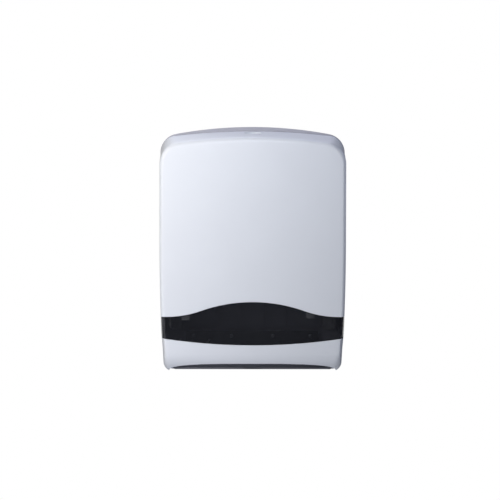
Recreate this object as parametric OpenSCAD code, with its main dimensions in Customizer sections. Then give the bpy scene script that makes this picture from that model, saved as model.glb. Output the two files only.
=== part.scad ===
// Wall dispenser for folded paper: a back plate, a cover that swings down on two pins, a smoked
// wave window, an outlet tray, paper guides and a cam lock in the crown.
// Millimetres. X is right, Y is towards the wall and Z is up. The wall face is y = 0, and the
// origin is the middle of the four wall slots.

/* [Body] */
// Width across the back plate
body_w = 280; // [268:1:300]
// Height from the feet of the cover to the crest of the back plate
body_h = 363; // [345:1:385]
// Depth from the wall to the front
body_d = 122; // [116:1:132]
// How far each side draws in at the feet
side_tuck = 6; // [3:0.5:8]
// Height above the feet at which the sides begin to draw in
tuck_reach = 190; // [140:5:220]

/* [Back plate] */
// Thickness of the back plate
plate_t = 3; // [2.5:0.1:4]
// Depth of the rim that stands forward from the wall
rim_depth = 14; // [12:0.5:16]
// Wall thickness round the hollow behind the crest of the rim
rim_t = 2.5; // [2:0.1:3]
// Radius of the arched crest of the plate
plate_arch_r = 636; // [500:2:800]
// Radius of the upper corners of the plate
plate_corner_r = 29; // [25:1:36]
// Height of the plate's lower edge above the feet
plate_lift = 3; // [2:0.5:5]
// Reach of the locating lip in front of the rim
lip_reach = 7; // [5:0.5:9]
// Thickness of the locating lip
lip_t = 1.6; // [1.2:0.1:2]
// Height of the screw bosses above the plate
boss_h = 6; // [5:0.5:8]

/* [Wall slots] */
// Distance between the slots across the plate
slot_span_x = 180; // [150:1:190]
// Distance between the upper and the lower slots
slot_span_z = 200; // [180:1:210]
// Width of a slot
wall_slot_w = 6; // [5:0.1:7]
// Length of a slot
wall_slot_l = 12; // [9:0.5:15]

/* [Cover] */
// Wall thickness of the cover
cover_wall = 2.5; // [2:0.1:3]
// Step from the side of the plate in to the side of the cover
cover_step = 1; // [0.5:0.1:2]
// Step from the crest of the plate down to the crest of the cover
crown_step = 6.4; // [4:0.2:8]
// Gap between the rim of the plate and the rear edge of the cover
parting_gap = 0.6; // [0.4:0.1:1]
// Radius of the arched crest of the cover at its rear edge
cover_arch_r = 980; // [800:10:1300]
// Radius of that arch where the crown meets the front
brow_arch_r = 775; // [650:5:900]
// Radius of the upper corners of the cover at its rear edge
cover_corner_r = 24; // [20:1:30]
// Radius of those corners where the sides and the crown meet the front
brow_corner_r = 32.5; // [26:0.5:38]
// Radius of the lower corners of the cover
foot_r = 13; // [10:0.5:16]
// How far each side draws in from the rear edge to the front
side_draft = 1.5; // [1:0.1:4]
// How far the crown falls from the rear edge to the front
top_draft = 8.6; // [5:0.2:11]
// Radius of the front edges at the sides
edge_r = 6; // [5:0.5:9]
// Radius of the brow, the front edge of the crown
brow_r = 8; // [6:0.5:11]
// Height over which the brow fades into the side edges
brow_reach = 46; // [36:1:60]
// Radius of the roll under the front at the base
roll_r = 28; // [22:1:32]
// Height above the feet at which the roll has faded into the side edges
roll_reach = 62; // [50:1:80]
// How far the front bows out between the sides
front_bow = 7; // [4:0.5:10]
// How far the crown stands behind the base of the front
front_lean = 6; // [0:0.5:9]

/* [Window] */
// Height of the top of the wave above the feet
window_crest = 105; // [95:0.2:112]
// Height of the shoulders of the wave above the feet
window_shoulder = 82.6; // [74:0.2:88]
// Height of the lowest point of the sill above the feet
window_sill = 41.4; // [39:0.2:46]
// Rise of the sill from its middle to the sides
sill_rise = 10.2; // [6:0.2:14]
// Width of the level shoulder beside the wave
shoulder_w = 8.8; // [2:0.2:12]
// Share of the wave that belongs to its crest
crest_share = 0.59; // [0.5:0.01:0.7]
// How far the window reaches back round each side
window_wrap = 46; // [38:1:54]
// Gap between the window and the cover
window_gap = 0.3; // [0.2:0.05:0.5]
// Width of the flange that holds the window behind the cover
flange_w = 6; // [4:0.5:7]
// Thickness of that flange
flange_t = 1.8; // [1.5:0.1:2.5]
// Distance between the two window clips
clip_span = 184; // [150:2:196]
// How far the middle of the two clips stands to the left of the cover's middle
clip_shift = 7; // [0:1:10]
// Width of a window clip
clip_w = 12; // [9:0.5:15]
// How far a clip shows below the edge of the window
clip_drop = 8; // [6:0.5:10]

/* [Outlet] */
// Width of the foot on each side of the outlet arch
foot_w = 9; // [7:0.5:12]
// Height of the outlet arch
arch_h = 13.6; // [10:0.2:15]
// Height of the tray's shelf above the feet
tray_lift = 27; // [25:0.5:30]
// Wall thickness of the tray
tray_wall = 2.5; // [2:0.1:3]
// Height of the lips round the shelf
tray_lip = 12; // [8:0.5:15]
// Length of the outlet slot
outlet_l = 180; // [150:1:190]
// Width of the outlet slot
outlet_w = 44; // [38:1:50]
// Height of the collar that leads the sheets down from the outlet
collar_h = 23.5; // [6:0.5:24]
// Width of the finger notch in the lower edge of the tray
notch_w = 30; // [20:1:50]
// Height of the finger notch
notch_h = 4.5; // [3:0.5:8]

/* [Paper guides] */
// Room at each side between the paper and the side of the plate
paper_room = 19.5; // [19:0.5:28]
// Thickness of a guide
guide_t = 2.5; // [2:0.1:3]
// Depth of a guide in front of its flange
guide_d = 58; // [45:1:65]
// Height of a guide
guide_h = 236; // [200:2:250]

/* [Hinge] */
// Diameter of the hinge pins
pin_d = 5; // [4:0.1:6]
// Distance from the rear edge of the cover to the hinge axis
hinge_set = 9.4; // [8.5:0.1:11]
// Height of the hinge axis above the feet
hinge_lift = 9; // [8.6:0.1:10]
// Thickness of each hinge lug and each hinge ear
hinge_t = 5.5; // [4.5:0.1:7]
// Distance from the side of the plate to the middle of the lug there
hinge_inset = 33; // [32:0.5:38]

/* [Lock] */
// Distance from the wall to the lock axis
lock_set = 46; // [43:1:50]
// Diameter of the lock barrel
barrel_d = 12; // [10:0.1:13]
// Diameter of the threaded body of the lock
lock_d = 18; // [16:0.1:19]
// Diameter of the recess in the crown
recess_d = 26; // [24:0.5:32]
// Depth of that recess at the lock axis
recess_h = 3.4; // [3:0.2:5]
// Length of the lock body below its flange
lock_l = 20; // [18:0.5:23]
// Radius at which the hook of the cam catches
cam_reach = 22.4; // [21.5:0.1:24]
// Thickness of the cam and of the keeper
steel_t = 2; // [1.5:0.1:2.5]
// Height of the hook on the cam
hook_h = 7; // [6:0.5:8]

/* [Clearances] */
// Radial running clearance of a pin or barrel in its bore
running = 0.05; // [0.03:0.01:0.08]
// Radial clearance of a fastener in its hole
screw_clear = 0.1; // [0.05:0.05:0.3]
// Clearance between pieces that pass each other
passing = 0.6; // [0.4:0.1:1]

/* [Screws] */
// Shank diameter of the self-tapping screws
screw_d = 3; // [2.5:0.1:3.5]
// Head diameter of the self-tapping screws
screw_head_d = 6.4; // [5.5:0.1:7]

/* [Hidden] */

$fn = 64;
eps = 0.01;
far = 400;

half_w = body_w / 2;
foot_z = -body_h / 2;
crest_z = body_h / 2;
cover_hw = half_w - cover_step;
cover_top = crest_z - crown_step;
cover_mid = (foot_z + cover_top) / 2;
rear_y = -rim_depth - parting_gap;
boss_y = -plate_t - boss_h;
hinge_y = rear_y - hinge_set;
hinge_z = foot_z + hinge_lift;
pin_r = pin_d / 2;

// Segments along one half of an arched outline
n_base = 5;
n_foot = 3;
n_side = 7;
n_corner = 6;
n_arch = 7;
// Steps round the front edge, and rings across the front
edge_steps = 4;
face_rings = [0.66, 0.33];

function smooth(u) = let (v = min(1, max(0, u))) v * v * (3 - 2 * v);

// How far a side draws in at height z
function tuck(z) = side_tuck * pow(max(0, foot_z + tuck_reach - z) / tuck_reach, 2);

// Right half of an outline from the middle of its base to its crest: a level base, a foot corner,
// a straight side, an upper corner and an arch that is tangent to it
function arched_half(hw, zt, zb, ra, rt, rb) =
    let (
        arch_c = zt - ra,
        a = asin((hw - rt) / (ra - rt)),
        corner_z = arch_c + (ra - rt) * cos(a),
        side_z = zb + rb
    )
    concat(
        [for (i = [0 : n_base - 1]) [(hw - rb) * i / n_base, zb]],
        [for (i = [0 : n_foot]) let (t = 90 * i / n_foot - 90)
            [hw - rb + rb * cos(t), side_z + rb * sin(t)]],
        [for (i = [1 : n_side - 1]) [hw, side_z + (corner_z - side_z) * i / n_side]],
        [for (i = [0 : n_corner]) let (t = (90 - a) * i / n_corner)
            [hw - rt + rt * cos(t), corner_z + rt * sin(t)]],
        [for (i = [1 : n_arch]) let (t = a * (1 - i / n_arch)) [ra * sin(t), arch_c + ra * cos(t)]]
    );

// The whole outline, with its sides drawn in towards the feet
function arched(hw, zt, zb, ra, rt, rb) =
    let (right = [for (p = arched_half(hw, zt, zb, ra, rt, rb)) [p[0] * (1 - tuck(p[1]) / half_w), p[1]]])
    concat(right, [for (i = [len(right) - 2 : -1 : 1]) [-right[i][0], right[i][1]]]);

// Outline of the rear edge of the cover, t inside its outer face
function cover_rear(t) =
    arched(cover_hw - t, cover_top - t, foot_z + t, cover_arch_r - t, cover_corner_r - t, foot_r - t);

// Outline of the plate, t inside its outer face
function plate_outline(t) =
    arched(
        half_w - t, crest_z - t, foot_z + plate_lift + t,
        plate_arch_r - t, plate_corner_r - t, foot_r - t
    );

// Outer face of the front at a point of the front view
function front_y(x, z) =
    -body_d + front_bow * pow(x / cover_hw, 2) + front_lean * (z - foot_z) / body_h;

// Radius of the front edge at height z: the roll at the base and the brow fade into the side edges
function edge_radius(z) =
    edge_r + (roll_r - edge_r) * smooth((foot_z + roll_reach - z) / (roll_reach - roll_r))
    + (brow_r - edge_r) * smooth(1 + (z - cover_top + top_draft) / brow_reach);

// One ring of the cover's skin t inside its outer face. The turn goes from 0, where the side wall
// ends, to 90, where the front face begins
function edge_ring(t, turn) =
    let (
        bend = 1 - cos(turn),
        in_side = t + (edge_r - t) * bend,
        in_top = t + (brow_r - t) * bend,
        in_base = t + (roll_r - t) * bend,
        outline = arched(
            cover_hw - side_draft - in_side, cover_top - top_draft - in_top, foot_z + in_base,
            brow_arch_r - in_top, brow_corner_r - in_side, (foot_r - t) * (1 - bend / 2)
        )
    )
    [for (p = outline) [p[0], front_y(p[0], p[1]) + t + (edge_radius(p[1]) - t) * (1 - sin(turn)), p[1]]];

// A ring on the front face, drawn in towards its middle by the factor s
function face_ring(t, s) =
    [for (p = edge_ring(t, 90)) let (x = p[0] * s, z = cover_mid + (p[2] - cover_mid) * s)
        [x, front_y(x, z) + t, z]];

// All rings of a skin from the rear edge to the front
function skin_rings(t) = concat(
    [[for (p = cover_rear(t)) [p[0], rear_y, p[1]]]],
    [for (i = [0 : edge_steps]) edge_ring(t, 90 * i / edge_steps)],
    [for (s = face_rings) face_ring(t, s)]
);

function skin_points(t) =
    concat([for (ring = skin_rings(t)) each ring], [[0, front_y(0, cover_mid) + t, cover_mid]]);

n_ring = 2 * (n_base + n_foot + n_side + n_corner + n_arch);
n_rings = 2 + edge_steps + len(face_rings);
n_skin = n_ring * n_rings + 1;

// Faces of a skin whose points start at index o, seen from outside or, reversed, from inside
function skin_faces(o, outside) =
    let (
        quads = [
            for (k = [0 : n_rings - 2], j = [0 : n_ring - 1])
                let (n = (j + 1) % n_ring)
                [o + (k + 1) * n_ring + j, o + (k + 1) * n_ring + n, o + k * n_ring + n, o + k * n_ring + j]
        ],
        nose = [
            for (j = [0 : n_ring - 1])
                [
                    o + n_skin - 1,
                    o + (n_rings - 1) * n_ring + (j + 1) % n_ring,
                    o + (n_rings - 1) * n_ring + j
                ]
        ],
        triangles = concat(
            [for (q = quads) [q[0], q[1], q[2]]],
            [for (q = quads) [q[0], q[2], q[3]]],
            nose
        )
    )
    [for (f = triangles) outside ? f : [f[2], f[1], f[0]]];

// The closed form of the cover, t inside its outer face
module cover_form(t) {
    cap = [for (j = [0 : n_ring - 1]) [j, (j + 1) % n_ring, n_skin]];
    polyhedron(concat(skin_points(t), [[0, rear_y, cover_mid]]), concat(skin_faces(0, true), cap));
}

// A wall between two skins, open at the rear
module cover_shell(outer, inner) {
    rim = [
        for (j = [0 : n_ring - 1])
            let (n = (j + 1) % n_ring)
            each [[j, n, n_skin + n], [j, n_skin + n, n_skin + j]]
    ];
    polyhedron(
        concat(skin_points(outer), skin_points(inner)),
        concat(skin_faces(0, true), skin_faces(n_skin, false), rim)
    );
}

// Extrudes a shape of the front view from y0 to y1
module front_prism(y0, y1) {
    translate([0, y1, 0]) rotate([90, 0, 0]) linear_extrude(y1 - y0) children();
}

// Extrudes a shape of the side view, drawn as (y, z), from x0 to x1
module side_prism(x0, x1) {
    translate([x0, 0, 0]) rotate([90, 0, 90]) linear_extrude(x1 - x0) children();
}

// A cylinder along X from x0 to x1
module cross_cylinder(r, x0, x1) {
    translate([x0, 0, 0]) rotate([0, 90, 0]) cylinder(r = r, h = x1 - x0);
}

// A cylinder along Y from y0 to y1
module depth_cylinder(r, y0, y1) {
    translate([0, y0, 0]) rotate([-90, 0, 0]) cylinder(r = r, h = y1 - y0);
}

// A flat shape with round ends, of overall length l along X
module obround(l, w) {
    for (s = [-1, 1]) translate([s * (l - w) / 2, 0]) circle(d = w);
    square([l - w, w], center = true);
}

module both_sides() {
    children();
    mirror([1, 0, 0]) children();
}

// Where the crown's outer face lies above the lock axis
crown_run = rear_y - (front_y(0, cover_top) + brow_r);
lip_out = cover_wall + passing + max(top_draft, side_draft) * lip_reach / crown_run;
lock_y = -lock_set;
crown_z = cover_top - top_draft * (rear_y - lock_y) / crown_run;
seat_z = crown_z - recess_h;
seat_t = 3;
flange_h = 2;
nut_h = 5;
cam_top = seat_z - lock_l - passing;
cam_low = cam_top - steel_t;

// Wave of the window: a crest arc and a reverse arc that meet with one tangent
wave_half = cover_hw - side_draft - shoulder_w;
wave_drop = window_crest - window_shoulder;
wave_turn = 2 * atan(wave_drop / wave_half);
wave_r = wave_half / sin(wave_turn);
crest_r = wave_r * crest_share;
trough_r = wave_r - crest_r;
wave_meet = crest_r * sin(wave_turn);
sill_r = (pow(cover_hw, 2) + pow(sill_rise, 2)) / (2 * sill_rise);
window_rear = -body_d + window_wrap + front_bow;

// Upper and lower edge of the window in the front view
function wave_z(x) =
    let (u = abs(x))
    foot_z + (u <= wave_meet ? window_crest - crest_r + sqrt(pow(crest_r, 2) - u * u)
        : u <= wave_half ? window_shoulder + trough_r - sqrt(pow(trough_r, 2) - pow(wave_half - u, 2))
        : window_shoulder);
function sill_z(x) = foot_z + window_sill + sill_r - sqrt(pow(sill_r, 2) - x * x);

// Front view of the window, grown by g on all sides
module wave_band(g) {
    n = 32;
    w = half_w + 5;
    polygon(concat(
        [for (i = [-n : n]) [w * i / n, sill_z(w * i / n) - g]],
        [for (i = [n : -1 : -n]) [w * i / n, wave_z(w * i / n) + g]]
    ));
}

// Ledges of the cover that carry the window's flange
rest_x = cover_hw / 2;
rest_w = 12;
rest_h = 2;
function rest_z(x) = sill_z(max(0, abs(x) - rest_w / 2)) - flange_w - window_gap;

// Front view of the outlet arch
arch_half = cover_hw - side_tuck - foot_w;
module outlet_arch() {
    n = 18;
    polygon(concat(
        [[-arch_half, foot_z - 20], [arch_half, foot_z - 20]],
        [for (i = [n : -1 : -n])
            let (a = 90 * i / n, u = sin(a))
            [arch_half * u, foot_z + arch_h * pow(max(0, 1 - pow(abs(u), 3)), 1 / 3)]]
    ));
}

// Hinge: the lugs of the plate stand inside the ears of the cover
lug_in = half_w - hinge_inset - hinge_t / 2;
lug_out = lug_in + hinge_t;
ear_in = lug_out + passing;
ear_out = ear_in + hinge_t;
lug_r = hinge_lift - cover_wall - 1;
ear_r = hinge_set - passing;

// Tray: its skirt stands behind the outlet arch and its flange sits on the bosses
paper_w = body_w - 2 * paper_room;
tray_z = foot_z + tray_lift;
tray_hw = paper_w / 2 - 2;
skirt_y = -body_d + front_bow + roll_r * 0.58;
skirt_hw = min(tray_hw, arch_half - 4);
skirt_low = foot_z + 3.5;
notch_r = (pow(notch_w / 2, 2) + pow(notch_h, 2)) / (2 * notch_h);
bead_r = tray_wall * 0.9;
flange_hw = lug_in - 3;
flange_up = 25;
flange_down = 13;
outlet_y = (skirt_y + tray_wall + boss_y - tray_wall) / 2;
tray_screw_x = [for (u = [-0.88, -0.31, 0.31, 0.88]) u * flange_hw];
tray_screw_z = tray_z + flange_up - 8;

// Guides
guide_x = paper_w / 2 + 1.5;
guide_low = tray_z + flange_up + 2;
guide_flange = 15;
guide_screw_x = guide_x - guide_flange / 2;
guide_screw_z = [guide_low + guide_h * 0.16, guide_low + guide_h * 0.84];

// Keeper: its arm passes over the hook and its lip hangs in front of it
keeper_w = 12;
keeper_plate_w = 42;
keeper_screw_x = 14;
keeper_lip_y = lock_y + sqrt(pow(cam_reach - 1, 2) - pow(keeper_w / 2, 2));
keeper_arm_z = cam_top + hook_h + 1.5;
keeper_plate_h = 16;
keeper_screw_z = keeper_arm_z - keeper_plate_h / 2 + steel_t;

// Every screw that goes into a boss of the plate, as [x, z]
boss_places = concat(
    [for (x = tray_screw_x) [x, tray_screw_z]],
    [for (s = [-1, 1], z = guide_screw_z) [s * guide_screw_x, z]],
    [for (s = [-1, 1]) [s * keeper_screw_x, keeper_screw_z]]
);
screw_l = boss_h + 4;

// A self-tapping screw along Y that clamps a sheet of thickness t onto a boss
module boss_screw(x, z, t) {
    bore = screw_d / 2 - screw_clear;
    head_y = boss_y - t;
    translate([x, 0, z]) {
        depth_cylinder(bore, head_y - eps, boss_y + boss_h - 0.5);
        translate([0, head_y, 0]) rotate([90, 0, 0]) {
            cylinder(d = screw_head_d, h = 1.2);
            translate([0, 0, 1.2]) cylinder(d1 = screw_head_d, d2 = screw_head_d * 0.62, h = 0.9);
        }
    }
}

module back_plate() color("#a3a6ab") {
    difference() {
        union() {
            front_prism(-plate_t, 0) polygon(plate_outline(0));
            difference() {
                front_prism(-rim_depth, -plate_t + eps) difference() {
                    polygon(plate_outline(0));
                    polygon(cover_rear(cover_wall));
                }
                translate([-far / 2, -far / 2, foot_z - 1]) cube([far, far, hinge_lift + ear_r + 3]);
            }
            difference() {
                front_prism(rear_y - lip_reach, -plate_t + eps) difference() {
                    polygon(cover_rear(lip_out));
                    polygon(cover_rear(lip_out + lip_t));
                }
                translate([-far / 2, -far / 2, foot_z - 1]) cube([far, far, tray_lift + flange_up]);
            }
            for (p = boss_places)
                translate([p[0], 0, p[1]]) depth_cylinder(screw_d / 2 + 2.6, boss_y, -plate_t + eps);
            for (x = [-52, -18, 18, 52])
                translate([x - 0.9, -plate_t - 2.4, tray_screw_z + 14]) cube([1.8, 2.4 + eps, guide_h - 8]);
            for (sx = [-1, 1], sz = [-1, 1])
                translate([sx * slot_span_x / 2, 0, sz * slot_span_z / 2])
                    front_prism(-plate_t - 1.6, -plate_t + eps) obround(wall_slot_l + 9, wall_slot_w + 9);
            both_sides() side_prism(lug_in, lug_out) hinge_lug();
        }
        for (p = boss_places) translate([p[0], 0, p[1]]) depth_cylinder(screw_d / 2, boss_y - 1, -plate_t);
        for (sx = [-1, 1], sz = [-1, 1])
            translate([sx * slot_span_x / 2, 0, sz * slot_span_z / 2])
                front_prism(-plate_t - 3, 1) obround(wall_slot_l, wall_slot_w);
        translate([0, hinge_y, hinge_z]) cross_cylinder(pin_r + 0.02, -far / 2, far / 2);
        front_prism(-rim_depth + rim_t, 1) crest_hollow();
    }
}

// Front view of the hollow that lightens the rim behind its crest
module crest_hollow() intersection() {
    difference() {
        polygon(plate_outline(rim_t));
        polygon(cover_rear(0));
    }
    translate([-0.32 * body_w, 0]) square([0.64 * body_w, body_h]);
}

// Side view of a hinge lug, as (y, z): a round eye on an arm from the plate
module hinge_lug() {
    translate([hinge_y, hinge_z]) circle(lug_r);
    polygon([
        [hinge_y, hinge_z - lug_r], [-plate_t + eps, hinge_z - lug_r],
        [-plate_t + eps, hinge_z + 3 * lug_r], [hinge_y, hinge_z + lug_r]
    ]);
}

module outlet_tray() color("#3a3c40") {
    back = boss_y - tray_wall;
    side_lip = tray_lip;
    difference() {
        union() {
            translate([-tray_hw, skirt_y + eps, tray_z - tray_wall])
                cube([2 * tray_hw, boss_y - skirt_y - eps, tray_wall]);
            translate([-flange_hw, back, tray_z - tray_wall - flange_down])
                cube([2 * flange_hw, tray_wall, flange_down + tray_wall + flange_up]);
            front_prism(skirt_y, skirt_y + tray_wall) tray_front();
            translate([0, skirt_y + tray_wall / 2, skirt_low + bead_r])
                cross_cylinder(bead_r, 6 - skirt_hw, skirt_hw - 6);
            both_sides() translate([tray_hw - tray_wall, skirt_y + eps, tray_z - eps])
                cube([tray_wall, boss_y - skirt_y - 12, side_lip]);
            translate([0, outlet_y, tray_z - tray_wall - collar_h]) linear_extrude(collar_h + eps)
                obround(outlet_l + 2 * tray_wall, outlet_w + 2 * tray_wall);
            both_sides() side_prism(flange_hw - 4, flange_hw - 4 + tray_wall) polygon([
                [back + eps, tray_z - tray_wall + eps], [back + eps, tray_z - tray_wall - flange_down],
                [back - 2, tray_z - tray_wall - flange_down], [skirt_y + 30, tray_z - tray_wall - 2],
                [skirt_y + 30, tray_z - tray_wall + eps]
            ]);
        }
        translate([0, outlet_y, tray_z - tray_wall - collar_h - 1])
            linear_extrude(collar_h + tray_wall + 2) obround(outlet_l, outlet_w);
        for (x = tray_screw_x) translate([x, 0, tray_screw_z])
            depth_cylinder(screw_d / 2 + screw_clear, back - 1, boss_y + 1);
        front_prism(skirt_y - bead_r, skirt_y + tray_wall + bead_r)
            translate([0, skirt_low + notch_h - notch_r]) circle(notch_r);
    }
}

// Front view of the tray's front wall: a lip above the shelf and a skirt below it
module tray_front() {
    r = 5;
    lip_top = tray_z + tray_lip;
    translate([-tray_hw, tray_z - tray_wall]) square([2 * tray_hw, lip_top - tray_z + tray_wall]);
    difference() {
        translate([-skirt_hw, skirt_low]) square([2 * skirt_hw, tray_z - skirt_low]);
        for (s = [-1, 1]) translate([s * skirt_hw, skirt_low]) difference() {
            square(2 * r, center = true);
            translate([-s * r, r]) circle(r);
        }
    }
}

module tray_screws() color("#b9bcc0") for (x = tray_screw_x) boss_screw(x, tray_screw_z, tray_wall);

// The right guide: a flange on the bosses and a wall beside the paper, lightened by three openings
module guide() {
    difference() {
        union() {
            translate([guide_x - guide_flange, boss_y - guide_t, guide_low])
                cube([guide_flange + guide_t, guide_t, guide_h]);
            side_prism(guide_x, guide_x + guide_t) difference() {
                polygon([
                    [boss_y, guide_low], [boss_y - guide_d, guide_low + 10],
                    [boss_y - guide_d, guide_low + guide_h - 26],
                    [boss_y - guide_d + 26, guide_low + guide_h], [boss_y, guide_low + guide_h]
                ]);
                for (i = [0 : 2]) translate([boss_y - guide_d / 2 - 2, guide_low + guide_h * (0.2 + 0.27 * i)])
                    rotate(90) obround(guide_h * 0.2, guide_d * 0.4);
            }
        }
        for (z = guide_screw_z) translate([guide_screw_x, 0, z])
            depth_cylinder(screw_d / 2 + screw_clear, boss_y - guide_t - 1, boss_y + 1);
    }
}

module paper_guide_right() color("#c9cbce") guide();

module paper_guide_left() color("#c9cbce") mirror([1, 0, 0]) guide();

module guide_screws() color("#b9bcc0")
    for (s = [-1, 1], z = guide_screw_z) boss_screw(s * guide_screw_x, z, guide_t);

// A bent strip: a plate on the bosses, an arm forward over the hook and a lip down in front of it
module lock_keeper() color("#c3c6c9") {
    plate_y = boss_y - steel_t;
    plate_top = keeper_arm_z + steel_t;
    difference() {
        union() {
            translate([-keeper_plate_w / 2, plate_y, plate_top - keeper_plate_h])
                cube([keeper_plate_w, steel_t, keeper_plate_h]);
            side_prism(-keeper_w / 2, keeper_w / 2) polygon([
                [plate_y + eps, plate_top], [keeper_lip_y - steel_t + 1, plate_top],
                [keeper_lip_y - steel_t, plate_top - 1],
                [keeper_lip_y - steel_t, cam_top + 2], [keeper_lip_y, cam_top + 2],
                [keeper_lip_y, keeper_arm_z], [plate_y + eps, keeper_arm_z]
            ]);
        }
        for (s = [-1, 1]) translate([s * keeper_screw_x, 0, keeper_screw_z])
            depth_cylinder(screw_d / 2 + screw_clear, plate_y - 1, boss_y + 1);
    }
}

module keeper_screws() color("#b9bcc0")
    for (s = [-1, 1]) boss_screw(s * keeper_screw_x, keeper_screw_z, steel_t);

// A headed pin, pushed out through the lug into the ear
module hinge_pin() {
    translate([0, hinge_y, hinge_z]) {
        cross_cylinder(pin_r, lug_in - 1, ear_out + 0.8);
        cross_cylinder(pin_r + 1.2, lug_in - 1.8, lug_in - 0.1);
    }
}

module hinge_pin_right() color("#c3c6c9") hinge_pin();

module hinge_pin_left() color("#c3c6c9") mirror([1, 0, 0]) hinge_pin();

// Side view of what the swing leaves of the cover behind the hinge axis, as (y, z)
module swing_relief() {
    difference() {
        translate([hinge_y, foot_z - 1]) square([hinge_set + 2, hinge_lift + 1]);
        translate([hinge_y, hinge_z]) circle(ear_r);
    }
}

module front_cover() color("#eef1f5") {
    difference() {
        union() {
            cover_shell(0, cover_wall);
            intersection() {
                cover_form(0.4);
                translate([0, lock_y, seat_z - seat_t]) cylinder(d = recess_d + 2 * cover_wall, h = 30);
            }
            both_sides() side_prism(ear_in, ear_out) {
                translate([hinge_y, hinge_z]) circle(lug_r);
                translate([hinge_y - lug_r, foot_z + 0.5]) square([2 * lug_r, hinge_lift - 0.5]);
                polygon([
                    [hinge_y - lug_r + eps, hinge_z], [hinge_y - lug_r + eps, foot_z + 0.5],
                    [hinge_y - lug_r - 12, foot_z + 0.5]
                ]);
            }
            for (x = clip_xs)
                translate([x, 0, wave_z(x) + flange_w + 4])
                    depth_cylinder(2, front_y(x, 0) + 1, clip_y(x) + 3.4);
            for (x = [-rest_x, 0, rest_x])
                translate([x - rest_w / 2, front_y(x, foot_z) + cover_wall / 2, rest_z(x) - rest_h])
                    cube([rest_w, cover_wall / 2 + flange_t + 2.5, rest_h]);
        }
        front_prism(-far, window_rear) wave_band(0);
        front_prism(-far, -rim_depth - hinge_set - 40) outlet_arch();
        translate([-ear_in + eps, -body_d + roll_r + 10, foot_z - 1])
            cube([2 * ear_in - 2 * eps, far, cover_wall + 3]);
        both_sides() side_prism(ear_in - 1, far / 2) swing_relief();
        translate([0, lock_y, seat_z]) cylinder(d = recess_d, h = 40);
        translate([0, lock_y, seat_z - seat_t - 1]) cylinder(r = lock_d / 2 + screw_clear, h = 40);
        translate([0, hinge_y, hinge_z]) cross_cylinder(pin_r + running, -far / 2, far / 2);
    }
}

module window_lens() color("#1d1f23") {
    in = cover_wall + 0.2;
    intersection() {
        cover_shell(0, in + flange_t);
        front_prism(-far, window_rear - window_gap) wave_band(-window_gap);
    }
    intersection() {
        cover_shell(in, in + flange_t);
        front_prism(-far, window_rear + flange_w - 1) wave_band(flange_w);
    }
}

// The clips stand on studs of the cover and press on the window's flange
clip_xs = [-clip_span / 2 - clip_shift, clip_span / 2 - clip_shift];
function clip_y(x) = front_y(x, wave_z(x)) + cover_wall + 0.2 + flange_t + 1.4;
function clip_turn(x) = atan(2 * front_bow * x / pow(cover_hw, 2));
clip_lean = atan(front_lean / body_h);
module window_clips() color("#b6bac0") {
    top = flange_w + 9;
    for (x = clip_xs) translate([x, clip_y(x), wave_z(x)]) difference() {
        union() {
            rotate([-clip_lean, 0, clip_turn(x)])
                translate([-clip_w / 2, -1.2, -clip_drop]) cube([clip_w, 2.4, top + clip_drop]);
            translate([0, 0, flange_w + 4]) depth_cylinder(3.6, 0, 2.4);
        }
        translate([0, 0, flange_w + 4]) depth_cylinder(2 + screw_clear, -far / 4, far / 4);
    }
}

module lock_body() color("#c9ccd0") translate([0, lock_y, 0]) {
    head_r = barrel_d / 2 + 1.6;
    difference() {
        union() {
            translate([0, 0, seat_z]) cylinder(d = recess_d - 4, h = flange_h);
            translate([0, 0, seat_z - lock_l]) cylinder(d = lock_d, h = lock_l + eps);
        }
        translate([0, 0, seat_z - lock_l - 1]) cylinder(r = barrel_d / 2 + running, h = lock_l + 10);
        translate([0, 0, seat_z + flange_h - 1.2]) cylinder(r = head_r + 0.15, h = 5);
    }
}

module lock_nut() color("#b9bcc0") translate([0, lock_y, seat_z - seat_t - nut_h]) difference() {
    cylinder(r = lock_d / 2 + 4.6, h = nut_h, $fn = 6);
    translate([0, 0, -1]) cylinder(r = lock_d / 2 + 0.05, h = nut_h + 2);
}

// Barrel with a head, a key slot and a square tail for the cam
tail = barrel_d * 0.55;
module lock_barrel() color("#8e9297") translate([0, lock_y, 0]) difference() {
    union() {
        translate([0, 0, cam_top]) cylinder(d = barrel_d, h = seat_z + flange_h - cam_top);
        translate([0, 0, seat_z + flange_h - 1.1]) cylinder(r = barrel_d / 2 + 1.6, h = 1.1);
        translate([-tail / 2, -tail / 2, cam_low + 0.1]) cube([tail, tail, cam_top - cam_low + 1]);
    }
    translate([-3.6, -1, seat_z + flange_h - 6]) cube([7.2, 2, 10]);
    translate([0, 0, cam_low - 1]) cylinder(r = screw_d / 2, h = 12);
}

// The cam points to the right when it is unlocked
module lock_cam() color("#c3c6c9") translate([0, lock_y, 0]) {
    hook_w = 10;
    difference() {
        union() {
            translate([0, 0, cam_low]) cylinder(d = barrel_d + 3, h = steel_t);
            translate([0, -hook_w / 2, cam_low]) cube([cam_reach + 3, hook_w, steel_t]);
            translate([cam_reach + 3 - steel_t, -hook_w / 2, cam_low])
                cube([steel_t, hook_w, steel_t + hook_h]);
        }
        translate([-tail / 2 - 0.03, -tail / 2 - 0.03, cam_low - 1])
            cube([tail + 0.06, tail + 0.06, steel_t + 2]);
    }
}

module cam_washer() color("#b9bcc0") translate([0, lock_y, cam_low - 1]) difference() {
    cylinder(r = tail * 0.95, h = 1);
    translate([0, 0, -1]) cylinder(r = screw_d / 2 + 0.05, h = 3);
}

module cam_screw() color("#b9bcc0") translate([0, lock_y, cam_low - 1]) {
    translate([0, 0, -2.2]) cylinder(d = screw_head_d, h = 2.2);
    cylinder(r = screw_d / 2 - screw_clear, h = 10);
}

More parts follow.
